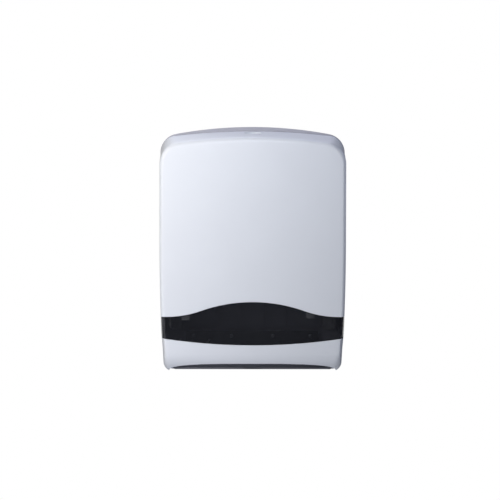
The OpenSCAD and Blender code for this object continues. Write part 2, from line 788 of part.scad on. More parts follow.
back_plate();
outlet_tray();
tray_screws();
paper_guide_left();
paper_guide_right();
guide_screws();
lock_keeper();
keeper_screws();
hinge_pin_left();
hinge_pin_right();
front_cover();
window_lens();
window_clips();
lock_body();
lock_nut();
lock_barrel();
lock_cam();
cam_washer();
cam_screw();
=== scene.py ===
"""Dressed scene of a wall dispenser for folded paper.

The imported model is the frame, and every piece here stands where it says. The moulded skins are
lofted again in finer steps from the same sizes, in millimetres, with X to the right, Y towards
the wall and Z up. The wall face is y = 0.
"""

import logging
import math
from dataclasses import dataclass, field
from enum import Enum
from typing import Sequence

import bmesh
import bpy
import numpy as np
from mathutils import Euler, Matrix, Quaternion, Vector


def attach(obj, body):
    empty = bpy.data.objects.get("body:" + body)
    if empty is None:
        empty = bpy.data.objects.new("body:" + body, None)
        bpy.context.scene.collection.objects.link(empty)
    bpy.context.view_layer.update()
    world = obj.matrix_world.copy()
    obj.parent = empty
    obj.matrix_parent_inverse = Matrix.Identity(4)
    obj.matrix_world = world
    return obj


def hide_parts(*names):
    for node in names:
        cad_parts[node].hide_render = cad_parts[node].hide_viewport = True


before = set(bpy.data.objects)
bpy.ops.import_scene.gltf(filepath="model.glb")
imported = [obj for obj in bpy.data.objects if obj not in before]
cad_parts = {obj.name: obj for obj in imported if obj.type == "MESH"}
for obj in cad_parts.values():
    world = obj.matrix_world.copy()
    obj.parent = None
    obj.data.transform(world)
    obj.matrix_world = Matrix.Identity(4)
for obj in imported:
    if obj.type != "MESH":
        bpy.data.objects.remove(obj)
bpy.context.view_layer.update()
LOG = logging.getLogger("dispenser")
MM = 0.001
# a distance in millimetres that is clear of the object on every side
FAR = 200.0
# radians by which Blender's wave texture turns in one unit of its scale
WAVE_TURN = 20.0


class Body(Enum):
    """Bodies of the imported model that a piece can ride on."""

    WALL_UNIT = "wall_unit"
    COVER = "cover"
    LOCK = "lock"


class Ends(Enum):
    """How a loft ends: in flat caps, in a middle point, or back on its first ring."""

    FLAT = "flat"
    POINT = "point"
    LOOP = "loop"


class Axis(Enum):
    """Direction of an extrusion: the order in which across, up and along give x, y and z."""

    X = (2, 0, 1)
    Y = (0, 2, 1)
    Z = (0, 1, 2)

    def place(self, outline: np.ndarray, along: float) -> np.ndarray:
        """Stands a flat outline at a distance along this axis."""
        flat = np.column_stack([outline, np.full(len(outline), along)])
        return flat[:, list(self.value)]


class Join(Enum):
    """Ways to combine two solids."""

    ADD = "UNION"
    CUT = "DIFFERENCE"
    KEEP = "INTERSECT"


def solid(name: str, points: np.ndarray, faces: Sequence[Sequence[int]]) -> bpy.types.Object:
    """Makes an object whose faces look outwards.

    Args:
        name: Name of the object.
        points: Its points in millimetres.
        faces: Its faces, as indices of points.

    Returns:
        The new object, linked to the scene.
    """
    mesh = bpy.data.meshes.new(name)
    mesh.from_pydata((np.asarray(points) * MM).tolist(), [], [list(f) for f in faces])
    shape = bmesh.new()
    shape.from_mesh(mesh)
    bmesh.ops.recalc_face_normals(shape, faces=shape.faces)
    shape.to_mesh(mesh)
    shape.free()
    piece = bpy.data.objects.new(name, mesh)
    bpy.context.scene.collection.objects.link(piece)
    return piece


def loft(name: str, rings: Sequence[np.ndarray], ends: Ends = Ends.FLAT) -> bpy.types.Object:
    """Skins a row of rings that have the same number of points.

    Args:
        name: Name of the object.
        rings: Rings of points in millimetres.
        ends: How the row ends.

    Returns:
        The closed solid.
    """
    count, size = len(rings), len(rings[0])
    points = np.vstack(rings)
    faces: list[tuple[int, ...]] = []
    for k in range(count if ends is Ends.LOOP else count - 1):
        a, b = k * size, (k + 1) % count * size
        for j in range(size):
            n = (j + 1) % size
            faces.append((a + j, a + n, b + n, b + j))
    last = (count - 1) * size
    if ends is Ends.FLAT:
        faces += [tuple(range(size)), tuple(range(last, last + size))]
    elif ends is Ends.POINT:
        nose = len(points)
        points = np.vstack([points, rings[0].mean(0), rings[-1].mean(0)])
        for j in range(size):
            n = (j + 1) % size
            faces += [(nose, j, n), (nose + 1, last + j, last + n)]
    return solid(name, points, faces)


def prism(name: str, outline: Sequence, axis: Axis, low: float, high: float) -> bpy.types.Object:
    """Extrudes a flat outline along an axis, between two distances in millimetres."""
    flat = np.asarray(outline, float)
    return loft(name, [axis.place(flat, low), axis.place(flat, high)])


def block(name: str, low: Sequence[float], high: Sequence[float]) -> bpy.types.Object:
    """Makes a box between two corners in millimetres."""
    corners = [(low[0], low[1]), (high[0], low[1]), (high[0], high[1]), (low[0], high[1])]
    return prism(name, corners, Axis.Z, low[2], high[2])


def soften(outline: Sequence, radius: float | Sequence[float]) -> np.ndarray:
    """Rounds the corners of an outline.

    Args:
        outline: Its corners in order.
        radius: How far along its sides each corner is rounded, as one value or one for each corner.

    Returns:
        Points of the outline in millimetres.
    """
    corners = np.asarray(outline, float)
    reach = np.broadcast_to(np.asarray(radius, float), len(corners))
    share = np.linspace(0, 1, 9)[:, None]
    runs = []
    for before, corner, after, r in zip(np.roll(corners, 1, 0), corners, np.roll(corners, -1, 0), reach):
        start = corner + r * (before - corner) / np.linalg.norm(before - corner)
        end = corner + r * (after - corner) / np.linalg.norm(after - corner)
        arc = (1 - share) ** 2 * start + 2 * share * (1 - share) * corner + share**2 * end
        runs.append(arc if r else corner[None])
    return np.vstack(runs)


def oblong(low: Sequence[float], high: Sequence[float], radius: float | Sequence[float]) -> np.ndarray:
    """Rectangle with round corners, which count from its lower left one."""
    return soften([low, (high[0], low[1]), high, (low[0], high[1])], radius)


def unit_arc(start: float, end: float, steps: int) -> np.ndarray:
    """Points of the unit circle from one angle to another, in radians."""
    angle = np.linspace(start, end, steps)
    return np.column_stack([np.cos(angle), np.sin(angle)])


def unit_circle(steps: int) -> np.ndarray:
    """Points all round the unit circle."""
    return unit_arc(0, 2 * np.pi, steps + 1)[:-1]


def smooth(share: np.ndarray) -> np.ndarray:
    """Smooth step from 0 to 1."""
    u = np.clip(share, 0, 1)
    return u * u * (3 - 2 * u)


def on_both_sides(
    name: str, outline: Sequence, near: float, far: float, ease: float = 0.0
) -> list[bpy.types.Object]:
    """Extrudes an outline of the side view on the left and on the right of the object.

    Args:
        name: Name of the two objects.
        outline: Its points as y and z.
        near: Where each begins, from the middle.
        far: Where each ends.
        ease: Width of the rounding of its edges, if they are eased.

    Returns:
        The left one and the right one.
    """
    made = [prism(name, outline, Axis.X, side * near, side * far) for side in (-1, 1)]
    return [settle(piece, ease) for piece in made] if ease else made


def turned(
    name: str,
    profile: Sequence[tuple[float, float]],
    axis: Axis,
    centre: Sequence[float],
    ends: Ends = Ends.FLAT,
    steps: int = 72,
) -> bpy.types.Object:
    """Turns a profile round an axis, as on a lathe.

    Args:
        name: Name of the object.
        profile: Pairs of radius and distance along the axis, in millimetres.
        axis: Direction of the axis.
        centre: A point of the axis, from which the distances count.
        ends: LOOP for a hollow piece whose profile closes on itself.
        steps: Facets in a turn.

    Returns:
        The closed solid.
    """
    circle = unit_circle(steps)
    rings = [axis.place(circle * radius, along) + np.asarray(centre) for radius, along in profile]
    return loft(name, rings, ends)


def obround(
    length: float, width: float, centre: Sequence[float] = (0, 0), upright: bool = False
) -> np.ndarray:
    """Outline with round ends.

    Args:
        length: Overall length.
        width: Overall width.
        centre: Its middle.
        upright: Whether its length goes up instead of across.

    Returns:
        Points of the outline in millimetres.
    """
    cap = unit_arc(-np.pi / 2, np.pi / 2, 17) * width / 2
    half = cap + [(length - width) / 2, 0]
    outline = np.vstack([half, -half])
    return (outline[:, ::-1] if upright else outline) + np.asarray(centre)


def bake(piece: bpy.types.Object) -> None:
    """Turns the result of a piece's modifiers into its mesh."""
    graph = bpy.context.evaluated_depsgraph_get()
    made = bpy.data.meshes.new_from_object(piece.evaluated_get(graph))
    old = piece.data
    piece.modifiers.clear()
    piece.data = made
    bpy.data.meshes.remove(old)


def combine(piece: bpy.types.Object, how: Join, *tools: bpy.types.Object) -> bpy.types.Object:
    """Adds other solids to a piece, or cuts them from it, and uses them up.

    Args:
        piece: The solid that changes.
        how: What is done with each tool.
        tools: Closed solids.

    Returns:
        The changed piece.
    """
    for tool in tools:
        step = piece.modifiers.new(tool.name, "BOOLEAN")
        step.object = tool
        step.operation = how.value
        step.solver = "MANIFOLD"
    bake(piece)
    for tool in tools:
        bpy.data.meshes.remove(tool.data)
    return piece


def settle(piece: bpy.types.Object, ease: float = 0.0, sharp: float = 30.0) -> bpy.types.Object:
    """Eases a piece's edges and shades it.

    Args:
        piece: The piece.
        ease: Width in millimetres of the rounding that the mould gives its edges.
        sharp: Angle in degrees from which an edge stays sharp in the shading.

    Returns:
        The same piece.
    """
    shape = bmesh.new()
    shape.from_mesh(piece.data)
    bmesh.ops.remove_doubles(shape, verts=shape.verts, dist=2e-6)
    bmesh.ops.dissolve_degenerate(shape, edges=shape.edges, dist=1e-6)
    shape.to_mesh(piece.data)
    shape.free()
    if ease:
        step = piece.modifiers.new("eased_edges", "BEVEL")
        step.width = ease * MM
        step.segments = 2
        step.limit_method = "ANGLE"
        step.angle_limit = math.radians(35)
        bake(piece)
    piece.data.shade_smooth()
    piece.data.set_sharp_from_angle(angle=math.radians(sharp))
    return piece


def eased(name: str, low: Sequence[float], high: Sequence[float], ease: float = 0.4) -> bpy.types.Object:
    """Makes a box with eased edges."""
    return settle(block(name, low, high), ease)


def linear(colour: str) -> tuple[float, float, float, float]:
    """Turns an sRGB hex colour into linear RGBA."""
    parts = [int(colour[i : i + 2], 16) / 255 for i in (1, 3, 5)]
    made = [c / 12.92 if c <= 0.04045 else ((c + 0.055) / 1.055) ** 2.4 for c in parts]
    return (*made, 1.0)


def per_metre(size_mm: float) -> float:
    """Scale of a pattern whose features are a size in millimetres apart."""
    return 1000 / size_mm


def add(
    tree: bpy.types.NodeTree, kind: str, settings: dict, **links: bpy.types.NodeSocket
) -> bpy.types.Node:
    """Adds a node to a tree.

    Args:
        tree: The node tree.
        kind: Blender's name for the kind of node.
        settings: Values of its sockets or attributes, by name; a socket may be given by number.
        links: Sockets to link in, by the input's name with spaces written as underscores.

    Returns:
        The new node.
    """
    made = tree.nodes.new(kind)
    for name, value in settings.items():
        if isinstance(name, int) or name in made.inputs:
            made.inputs[name].default_value = value
        else:
            setattr(made, name, value)
    for name, socket in links.items():
        tree.links.new(socket, made.inputs[name.replace("_", " ")])
    return made


class Surface:
    """A material while it is built, with patterns that move with the piece."""

    def __init__(self, name: str, **values: float | tuple[float, ...]) -> None:
        """Starts a material.

        Args:
            name: Name of the material.
            values: Values of its shader, by the input's name with spaces written as underscores.
        """
        made = bpy.data.materials.new(name)
        made.use_nodes = True
        self.tree = made.node_tree
        self.shader = self.tree.nodes["Principled BSDF"]
        for key, value in values.items():
            self.shader.inputs[key.replace("_", " ")].default_value = value
        self.place = add(self.tree, "ShaderNodeTexCoord", {}).outputs["Object"]

    def noise(self, size_mm: float, detail: float = 2.0, across: float = 1.0) -> bpy.types.NodeSocket:
        """Makes a noise.

        Args:
            size_mm: Size of its features.
            detail: How far it breaks up into finer ones.
            across: Its scale across the piece, which is under 1 for drawn-out marks.

        Returns:
            Its strength.
        """
        place = self.place
        if across != 1.0:
            drawn = add(self.tree, "ShaderNodeMapping", {"Scale": (across, 1.0, 1.0)}, Vector=place)
            place = drawn.outputs["Vector"]
        settings = {"Scale": per_metre(size_mm), "Detail": detail}
        return add(self.tree, "ShaderNodeTexNoise", settings, Vector=place).outputs["Fac"]

    def tint(self, pattern: bpy.types.NodeSocket, low: Sequence[float], high: Sequence[float]) -> None:
        """Lets the colour follow a pattern from one colour to another."""
        ramp = add(self.tree, "ShaderNodeValToRGB", {}, Fac=pattern)
        for stop, colour in zip(ramp.color_ramp.elements, (low, high)):
            stop.color = colour
        self.tree.links.new(ramp.outputs["Color"], self.shader.inputs["Base Color"])

    def shine(
        self, pattern: bpy.types.NodeSocket, low: float, high: float, span: Sequence[float] = (0.3, 0.7)
    ) -> None:
        """Lets the roughness follow a pattern.

        Args:
            pattern: The pattern.
            low: Roughness where it is weak.
            high: Roughness where it is strong.
            span: Strengths between which the roughness changes.
        """
        settings = {"From Min": span[0], "From Max": span[1], "To Min": low, "To Max": high}
        gloss = add(self.tree, "ShaderNodeMapRange", settings, Value=pattern)
        self.tree.links.new(gloss.outputs["Result"], self.shader.inputs["Roughness"])

    def emboss(self, pattern: bpy.types.NodeSocket, strength: float, depth_mm: float) -> None:
        """Raises a pattern from the surface."""
        settings = {"Strength": strength, "Distance": depth_mm * MM}
        bump = add(self.tree, "ShaderNodeBump", settings, Height=pattern)
        self.tree.links.new(bump.outputs["Normal"], self.shader.inputs["Normal"])


@dataclass(frozen=True)
class Finish:
    """What every surface has: a name, a slot, a colour and a gloss."""

    name: str
    slot: str
    colour: str
    roughness: float

    def start(self, **values: float) -> Surface:
        """Starts the material with its colour, its gloss and other values of its shader."""
        return Surface(self.name, Base_Color=linear(self.colour), Roughness=self.roughness, **values)

    def tones(self, *shares: float | Sequence[float]) -> list[tuple[float, ...]]:
        """Gives the colour times each share, which may differ for red, green and blue."""
        tone = np.array(linear(self.colour)[:3])
        return [(*np.minimum(1.0, tone * share), 1.0) for share in shares]

    def material(self) -> bpy.types.Material:
        """Gives the material, which is built when it is first asked for."""
        if self.name not in bpy.data.materials:
            self.paint()
        return bpy.data.materials[self.name]

    def paint(self) -> None:
        """Builds the material's nodes."""
        raise NotImplementedError


@dataclass(frozen=True)
class MouldedPlastic(Finish):
    """Injection-moulded plastic from a spark-eroded mould.

    The eye gets an even, slightly cloudy colour, a soft wide highlight that is broken up by a
    fine grain, and faint patches where hands have polished the grain.
    """

    ior: float = 1.53
    drift: float = 0.03
    cloud_mm: float = 70.0
    hand_mm: float = 28.0
    polish: float = 0.05
    grain_mm: float = 0.9
    grain_depth_mm: float = 0.012
    grain_strength: float = 0.35

    def paint(self) -> None:
        """Builds colour drift, polished patches and grain."""
        surface = self.start(IOR=self.ior)
        surface.tint(surface.noise(self.cloud_mm), *self.tones(1 - self.drift, 1 + self.drift / 3))
        hands = surface.noise(self.hand_mm, 3.0)
        surface.shine(hands, self.roughness - self.polish, self.roughness + self.polish)
        # the real grain is about 0.2 mm, too fine for the picture, so it is drawn coarser
        surface.emboss(surface.noise(self.grain_mm), self.grain_strength, self.grain_depth_mm)


@dataclass(frozen=True)
class SmokedPlastic(Finish):
    """Smoked polycarbonate from a polished mould.

    The eye gets a near-black pane with a sharp thin reflection, fine wiping marks in its gloss,
    and a dim sight of what lies close behind it.
    """

    ior: float = 1.58
    cover: float = 0.5
    wipe_mm: float = 14.0
    wipe_draw: float = 0.12
    wipe_haze: float = 0.02
    tint_mm: float = 90.0
    drift: float = 0.1

    def paint(self) -> None:
        """Builds the dim see-through pane and the wiping marks in its gloss."""
        surface = self.start(IOR=self.ior, Alpha=self.cover)
        wipes = surface.noise(self.wipe_mm, across=self.wipe_draw)
        surface.shine(wipes, self.roughness, self.roughness + self.wipe_haze, (0.3, 0.75))
        surface.tint(surface.noise(self.tint_mm, 1.0), *self.tones(1 - self.drift, 1 + self.drift))


@dataclass(frozen=True)
class PlatedSteel(Finish):
    """Zinc-plated sheet steel and screws, bright from the bath.

    The eye gets a grey metal with a broad soft reflection and small cool and warm blotches.
    """

    blotch_mm: float = 6.0
    cool: tuple[float, float, float] = (0.9, 0.94, 1.0)
    warm: tuple[float, float, float] = (1.04, 1.02, 0.97)
    bright: float = 0.08
    dull: float = 0.1
    line_mm: float = 0.4
    line_draw: float = 0.05
    line_depth_mm: float = 0.01
    line_strength: float = 0.2

    def paint(self) -> None:
        """Builds the blotches of the plating and the fine rolling lines."""
        surface = self.start(Metallic=1.0)
        blotches = surface.noise(self.blotch_mm, 3.0)
        surface.tint(blotches, *self.tones(self.cool, self.warm))
        surface.shine(blotches, self.roughness - self.bright, self.roughness + self.dull)
        lines = surface.noise(self.line_mm, across=self.line_draw)
        surface.emboss(lines, self.line_strength, self.line_depth_mm)


@dataclass(frozen=True)
class TurnedChrome(Finish):
    """Chrome on a turned zinc casting.

    The eye gets a bright mirror that the turning marks pull into short arcs round the axis.
    """

    axis_mm: tuple[float, float] = (0.0, -46.0)
    mark_mm: float = 3.77
    mark_haze: float = 0.14
    mark_depth_mm: float = 0.01
    mark_strength: float = 0.12
    cloud_mm: float = 5.0
    cloud: tuple[float, float] = (0.93, 1.03)

    def paint(self) -> None:
        """Builds rings round the lock axis in the gloss and the bump."""
        surface = self.start(Metallic=1.0)
        shift = {"Location": (-self.axis_mm[0] * MM, -self.axis_mm[1] * MM, 0.0)}
        centred = add(surface.tree, "ShaderNodeMapping", shift, Vector=surface.place)
        # real turning marks are finer than the picture shows, so they are drawn coarser
        rings = {
            "wave_type": "RINGS",
            "rings_direction": "Z",
            "Scale": 2 * math.pi / WAVE_TURN * per_metre(self.mark_mm),
            "Distortion": 1.5,
            "Detail": 2.0,
        }
        wave = add(surface.tree, "ShaderNodeTexWave", rings, Vector=centred.outputs["Vector"])
        marks = wave.outputs["Fac"]
        surface.shine(marks, self.roughness, self.roughness + self.mark_haze, (0.0, 1.0))
        surface.tint(surface.noise(self.cloud_mm), *self.tones(*self.cloud))
        surface.emboss(marks, self.mark_strength, self.mark_depth_mm)


WHITE_ABS = MouldedPlastic("white_abs_spark_grain", "white_cover", "#e9edf3", 0.36)
GREY_ABS = MouldedPlastic("grey_abs_spark_grain", "grey_plate", "#b0b0bb", 0.45, drift=0.06)
DARK_ABS = MouldedPlastic("dark_grey_abs_spark_grain", "dark_tray", "#787a80", 0.42, drift=0.1)
PALE_PP = MouldedPlastic("pale_polypropylene", "pale_guide", "#c9cbce", 0.4, ior=1.49, drift=0.05)
WHITE_POM = MouldedPlastic("white_acetal", "light_clip", "#eceef2", 0.34, ior=1.48, drift=0.05)
SMOKED_PC = SmokedPlastic("smoked_polycarbonate", "smoked_window", "#25262a", 0.05)
ZINC_STEEL = PlatedSteel("zinc_plated_steel", "plated_steel", "#c2c5c9", 0.34)
LOCK_CHROME = TurnedChrome("turned_chrome", "lock_chrome", "#d3d6da", 0.1)
FLOOR_PAPER = MouldedPlastic("pale_floor_paper", "", "#f4f5f6", 0.8, drift=0.02)


def dress(piece: bpy.types.Object, finish: Finish, body: Body, *nodes: str) -> None:
    """Gives a finished piece its material, its body and the nodes that it stands for.

    Args:
        piece: A new piece, in place.
        finish: Its finish.
        body: The body that it rides on.
        nodes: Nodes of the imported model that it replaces.
    """
    piece.data.materials.clear()
    piece.data.materials.append(finish.material())
    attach(piece, body.value)
    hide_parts(*nodes)
    LOG.info("%s: %d faces in %s", piece.name, len(piece.data.polygons), finish.name)


@dataclass(frozen=True)
class Housing:
    """Form that the back plate and the cover share."""

    width: float = 280.0
    height: float = 363.0
    depth: float = 122.0
    side_tuck: float = 6.0
    tuck_reach: float = 190.0
    rim_depth: float = 14.0
    plate_t: float = 3.0
    plate_arch_r: float = 636.0
    plate_corner_r: float = 29.0
    plate_lift: float = 3.0
    boss_h: float = 6.0
    parting_gap: float = 0.6
    cover_step: float = 1.0
    crown_step: float = 6.4
    cover_wall: float = 2.5
    cover_arch_r: float = 980.0
    brow_arch_r: float = 775.0
    cover_corner_r: float = 24.0
    brow_corner_r: float = 32.5
    foot_r: float = 13.0
    side_draft: float = 1.5
    top_draft: float = 8.6
    edge_r: float = 6.0
    brow_r: float = 8.0
    brow_reach: float = 46.0
    roll_r: float = 28.0
    roll_reach: float = 62.0
    front_bow: float = 7.0
    front_lean: float = 6.0
    hinge_set: float = 9.4
    hinge_lift: float = 9.0
    hinge_inset: float = 33.0
    hinge_t: float = 5.5
    passing: float = 0.6
    steps: dict[str, int] = field(
        default_factory=lambda: {
            "base": 24, "foot": 8, "side": 48, "corner": 18, "arch": 32, "wall": 16, "edge": 12, "face": 20
        }
    )

    @property
    def half_w(self) -> float:
        """Half the width of the plate."""
        return self.width / 2

    @property
    def foot_z(self) -> float:
        """Height of the feet."""
        return -self.height / 2

    @property
    def cover_hw(self) -> float:
        """Half the width of the cover at its rear edge."""
        return self.half_w - self.cover_step

    @property
    def cover_top(self) -> float:
        """Crest of the cover at its rear edge."""
        return self.height / 2 - self.crown_step

    @property
    def cover_mid(self) -> float:
        """Middle height of the cover."""
        return (self.foot_z + self.cover_top) / 2

    @property
    def rear_y(self) -> float:
        """Rear edge of the cover."""
        return -self.rim_depth - self.parting_gap

    @property
    def boss_y(self) -> float:
        """Front of the screw bosses."""
        return -self.plate_t - self.boss_h

    @property
    def hinge(self) -> tuple[float, float]:
        """The hinge axis as y and z."""
        return self.rear_y - self.hinge_set, self.foot_z + self.hinge_lift

    @property
    def lug_in(self) -> float:
        """Inner face of the right hinge lug."""
        return self.half_w - self.hinge_inset - self.hinge_t / 2

    @property
    def ear_in(self) -> float:
        """Inner face of the right hinge ear."""
        return self.lug_in + self.hinge_t + self.passing

    @property
    def lug_r(self) -> float:
        """Radius of a hinge lug."""
        return self.hinge_lift - self.cover_wall - 1

    @property
    def crown_run(self) -> float:
        """Depth of the crown from its rear edge to the brow."""
        return self.rear_y - float(self.front_y(0.0, self.cover_top)) - self.brow_r

    def tuck(self, z: np.ndarray) -> np.ndarray:
        """Share of the width that is left at a height, where the sides draw in to the feet."""
        low = np.maximum(0, self.foot_z + self.tuck_reach - z) / self.tuck_reach
        return 1 - self.side_tuck * low**2 / self.half_w

    def arched(
        self, hw: float, top: float, base: float, arch_r: float, corner_r: float, foot_r: float
    ) -> np.ndarray:
        """Closed outline with a level base, round feet, tucked sides, round corners and an arched top.

        Args:
            hw: Half width before the tuck.
            top: Height of the crest.
            base: Height of the base.
            arch_r: Radius of the crest.
            corner_r: Radius of the upper corners.
            foot_r: Radius at the feet.

        Returns:
            Points as x and z.
        """
        n = self.steps
        middle = top - arch_r
        lean = math.asin((hw - corner_r) / (arch_r - corner_r))
        corner_z = middle + (arch_r - corner_r) * math.cos(lean)
        side_z = base + foot_r
        foot = np.linspace(-np.pi / 2, 0, n["foot"] + 1)
        corner = np.linspace(0, np.pi / 2 - lean, n["corner"] + 1)
        arch = np.linspace(lean, 0, n["arch"] + 1)[1:]
        floor = np.linspace(0, hw - foot_r, n["base"], endpoint=False)
        side = np.linspace(side_z, corner_z, n["side"] + 1)[1:-1]
        right = np.vstack(
            [
                np.column_stack([floor, np.full(len(floor), base)]),
                np.column_stack([hw - foot_r + foot_r * np.cos(foot), side_z + foot_r * np.sin(foot)]),
                np.column_stack([np.full(len(side), hw), side]),
                np.column_stack(
                    [hw - corner_r + corner_r * np.cos(corner), corner_z + corner_r * np.sin(corner)]
                ),
                np.column_stack([arch_r * np.sin(arch), middle + arch_r * np.cos(arch)]),
            ]
        )
        right[:, 0] *= self.tuck(right[:, 1])
        return np.vstack([right, right[-2:0:-1] * [-1, 1]])

    def cover_rear(self, t: float) -> np.ndarray:
        """Outline of the cover's rear edge, t inside its outer face."""
        return self.arched(
            self.cover_hw - t, self.cover_top - t, self.foot_z + t,
            self.cover_arch_r - t, self.cover_corner_r - t, self.foot_r - t,
        )

    def plate(self, t: float) -> np.ndarray:
        """Outline of the back plate, t inside its outer face."""
        return self.arched(
            self.half_w - t, self.height / 2 - t, self.foot_z + self.plate_lift + t,
            self.plate_arch_r - t, self.plate_corner_r - t, self.foot_r - t,
        )

    def front_y(self, x: np.ndarray, z: np.ndarray) -> np.ndarray:
        """Outer face of the front at points of the front view."""
        bow = self.front_bow * (x / self.cover_hw) ** 2
        return -self.depth + bow + self.front_lean * (z - self.foot_z) / self.height

    def edge_radius(self, z: np.ndarray) -> np.ndarray:
        """Radius of the front edge at a height: the base's roll and the brow fade into the sides."""
        roll = smooth((self.foot_z + self.roll_reach - z) / (self.roll_reach - self.roll_r))
        brow = smooth(1 + (z - self.cover_top + self.top_draft) / self.brow_reach)
        return self.edge_r + (self.roll_r - self.edge_r) * roll + (self.brow_r - self.edge_r) * brow

    def edge_ring(self, t: float, turn: float) -> np.ndarray:
        """One ring of the cover's skin round its front edge.

        Args:
            t: Distance inside the outer face.
            turn: From 0, where the side wall ends, to half pi, where the front begins.

        Returns:
            The ring's points.
        """
        bend = 1 - math.cos(turn)
        side, top, base = (t + (r - t) * bend for r in (self.edge_r, self.brow_r, self.roll_r))
        flat = self.arched(
            self.cover_hw - self.side_draft - side,
            self.cover_top - self.top_draft - top,
            self.foot_z + base,
            self.brow_arch_r - top,
            self.brow_corner_r - side,
            (self.foot_r - t) * (1 - bend / 2),
        )
        x, z = flat.T
        y = self.front_y(x, z) + t + (self.edge_radius(z) - t) * (1 - math.sin(turn))
        return np.column_stack([x, y, z])

    def skin(self, t: float, start: float = 0.0) -> list[np.ndarray]:
        """Rings of the cover's skin from its rear edge to the middle of its front.

        Args:
            t: Distance inside the outer face.
            start: How far in front of the rear edge the rings begin.

        Returns:
            The rings.
        """
        rear = Axis.Y.place(self.cover_rear(t), self.rear_y)
        edge = self.edge_ring(t, 0.0)
        first = start / (self.rear_y - edge[:, 1].mean())
        shares = np.linspace(first, 1, self.steps["wall"], endpoint=False)
        rings = [rear + (edge - rear) * share for share in shares]
        rings += [self.edge_ring(t, turn) for turn in np.linspace(0, np.pi / 2, self.steps["edge"] + 1)]
        face = rings[-1]
        for share in np.linspace(1, 0, self.steps["face"], endpoint=False)[1:]:
            x = face[:, 0] * share
            z = self.cover_mid + (face[:, 2] - self.cover_mid) * share
            rings.append(np.column_stack([x, self.front_y(x, z) + t, z]))
        return rings

    def form(self, name: str, t: float) -> bpy.types.Object:
        """The cover's closed form, t inside its outer face."""
        return loft(name, self.skin(t), Ends.POINT)

    def shell(self, name: str, outer: float, inner: float, ease: float) -> bpy.types.Object:
        """A wall between two skins, open at the rear.

        Args:
            name: Name of the object.
            outer: Depth of its outer skin.
            inner: Depth of its inner skin.
            ease: Chamfer of its rear edge.

        Returns:
            The solid.
        """
        rim = [Axis.Y.place(self.cover_rear(t), self.rear_y) for t in (outer + ease, inner - ease)]
        return loft(name, self.skin(outer, ease)[::-1] + rim + self.skin(inner, ease), Ends.POINT)

    def on_skin(self, s: np.ndarray, z: np.ndarray) -> np.ndarray:
        """Points of the outer skin along level sections.

        Args:
            s: 0 to 1 across the right half of the front, to 2 round the edge, to 3 along the side.
            z: Heights.

        Returns:
            The points.
        """
        turn = np.pi / 2 * np.clip(2 - s, 0, 1)
        bend = 1 - np.cos(turn)
        back = np.clip(s - 2, 0, 1)
        x = self.cover_hw - self.side_draft * (1 - back) - self.edge_r * bend
        x = np.where(s < 1, s * (self.cover_hw - self.side_draft - self.edge_r), x) * self.tuck(z)
        y = self.front_y(x, z) + self.edge_radius(z) * (1 - np.sin(turn))
        return np.column_stack([x, y + (self.rear_y - y) * back, z])


def chamfer_tool(name: str, path: np.ndarray, out: np.ndarray, size: float, ends: Ends) -> bpy.types.Object:
    """A square bar, set on its corner, that runs along an edge and takes it off.

    Args:
        name: Name of the object.
        path: Points of the edge in millimetres.
        out: Outward directions of the skin at these points.
        size: Width of the chamfer.
        ends: LOOP where the edge is closed.

    Returns:
        The tool.
    """
    if ends is Ends.LOOP:
        along = np.roll(path, -1, 0) - np.roll(path, 1, 0)
    else:
        along = np.gradient(path, axis=0)
    side = np.cross(along, out)
    side /= np.linalg.norm(side, axis=1)[:, None]
    rings = []
    for p, n, m in zip(path, out, side):
        rings.append(np.array([p + size * m, p + size * n, p - size * m, p - size * n]))
    return loft(name, rings, ends)


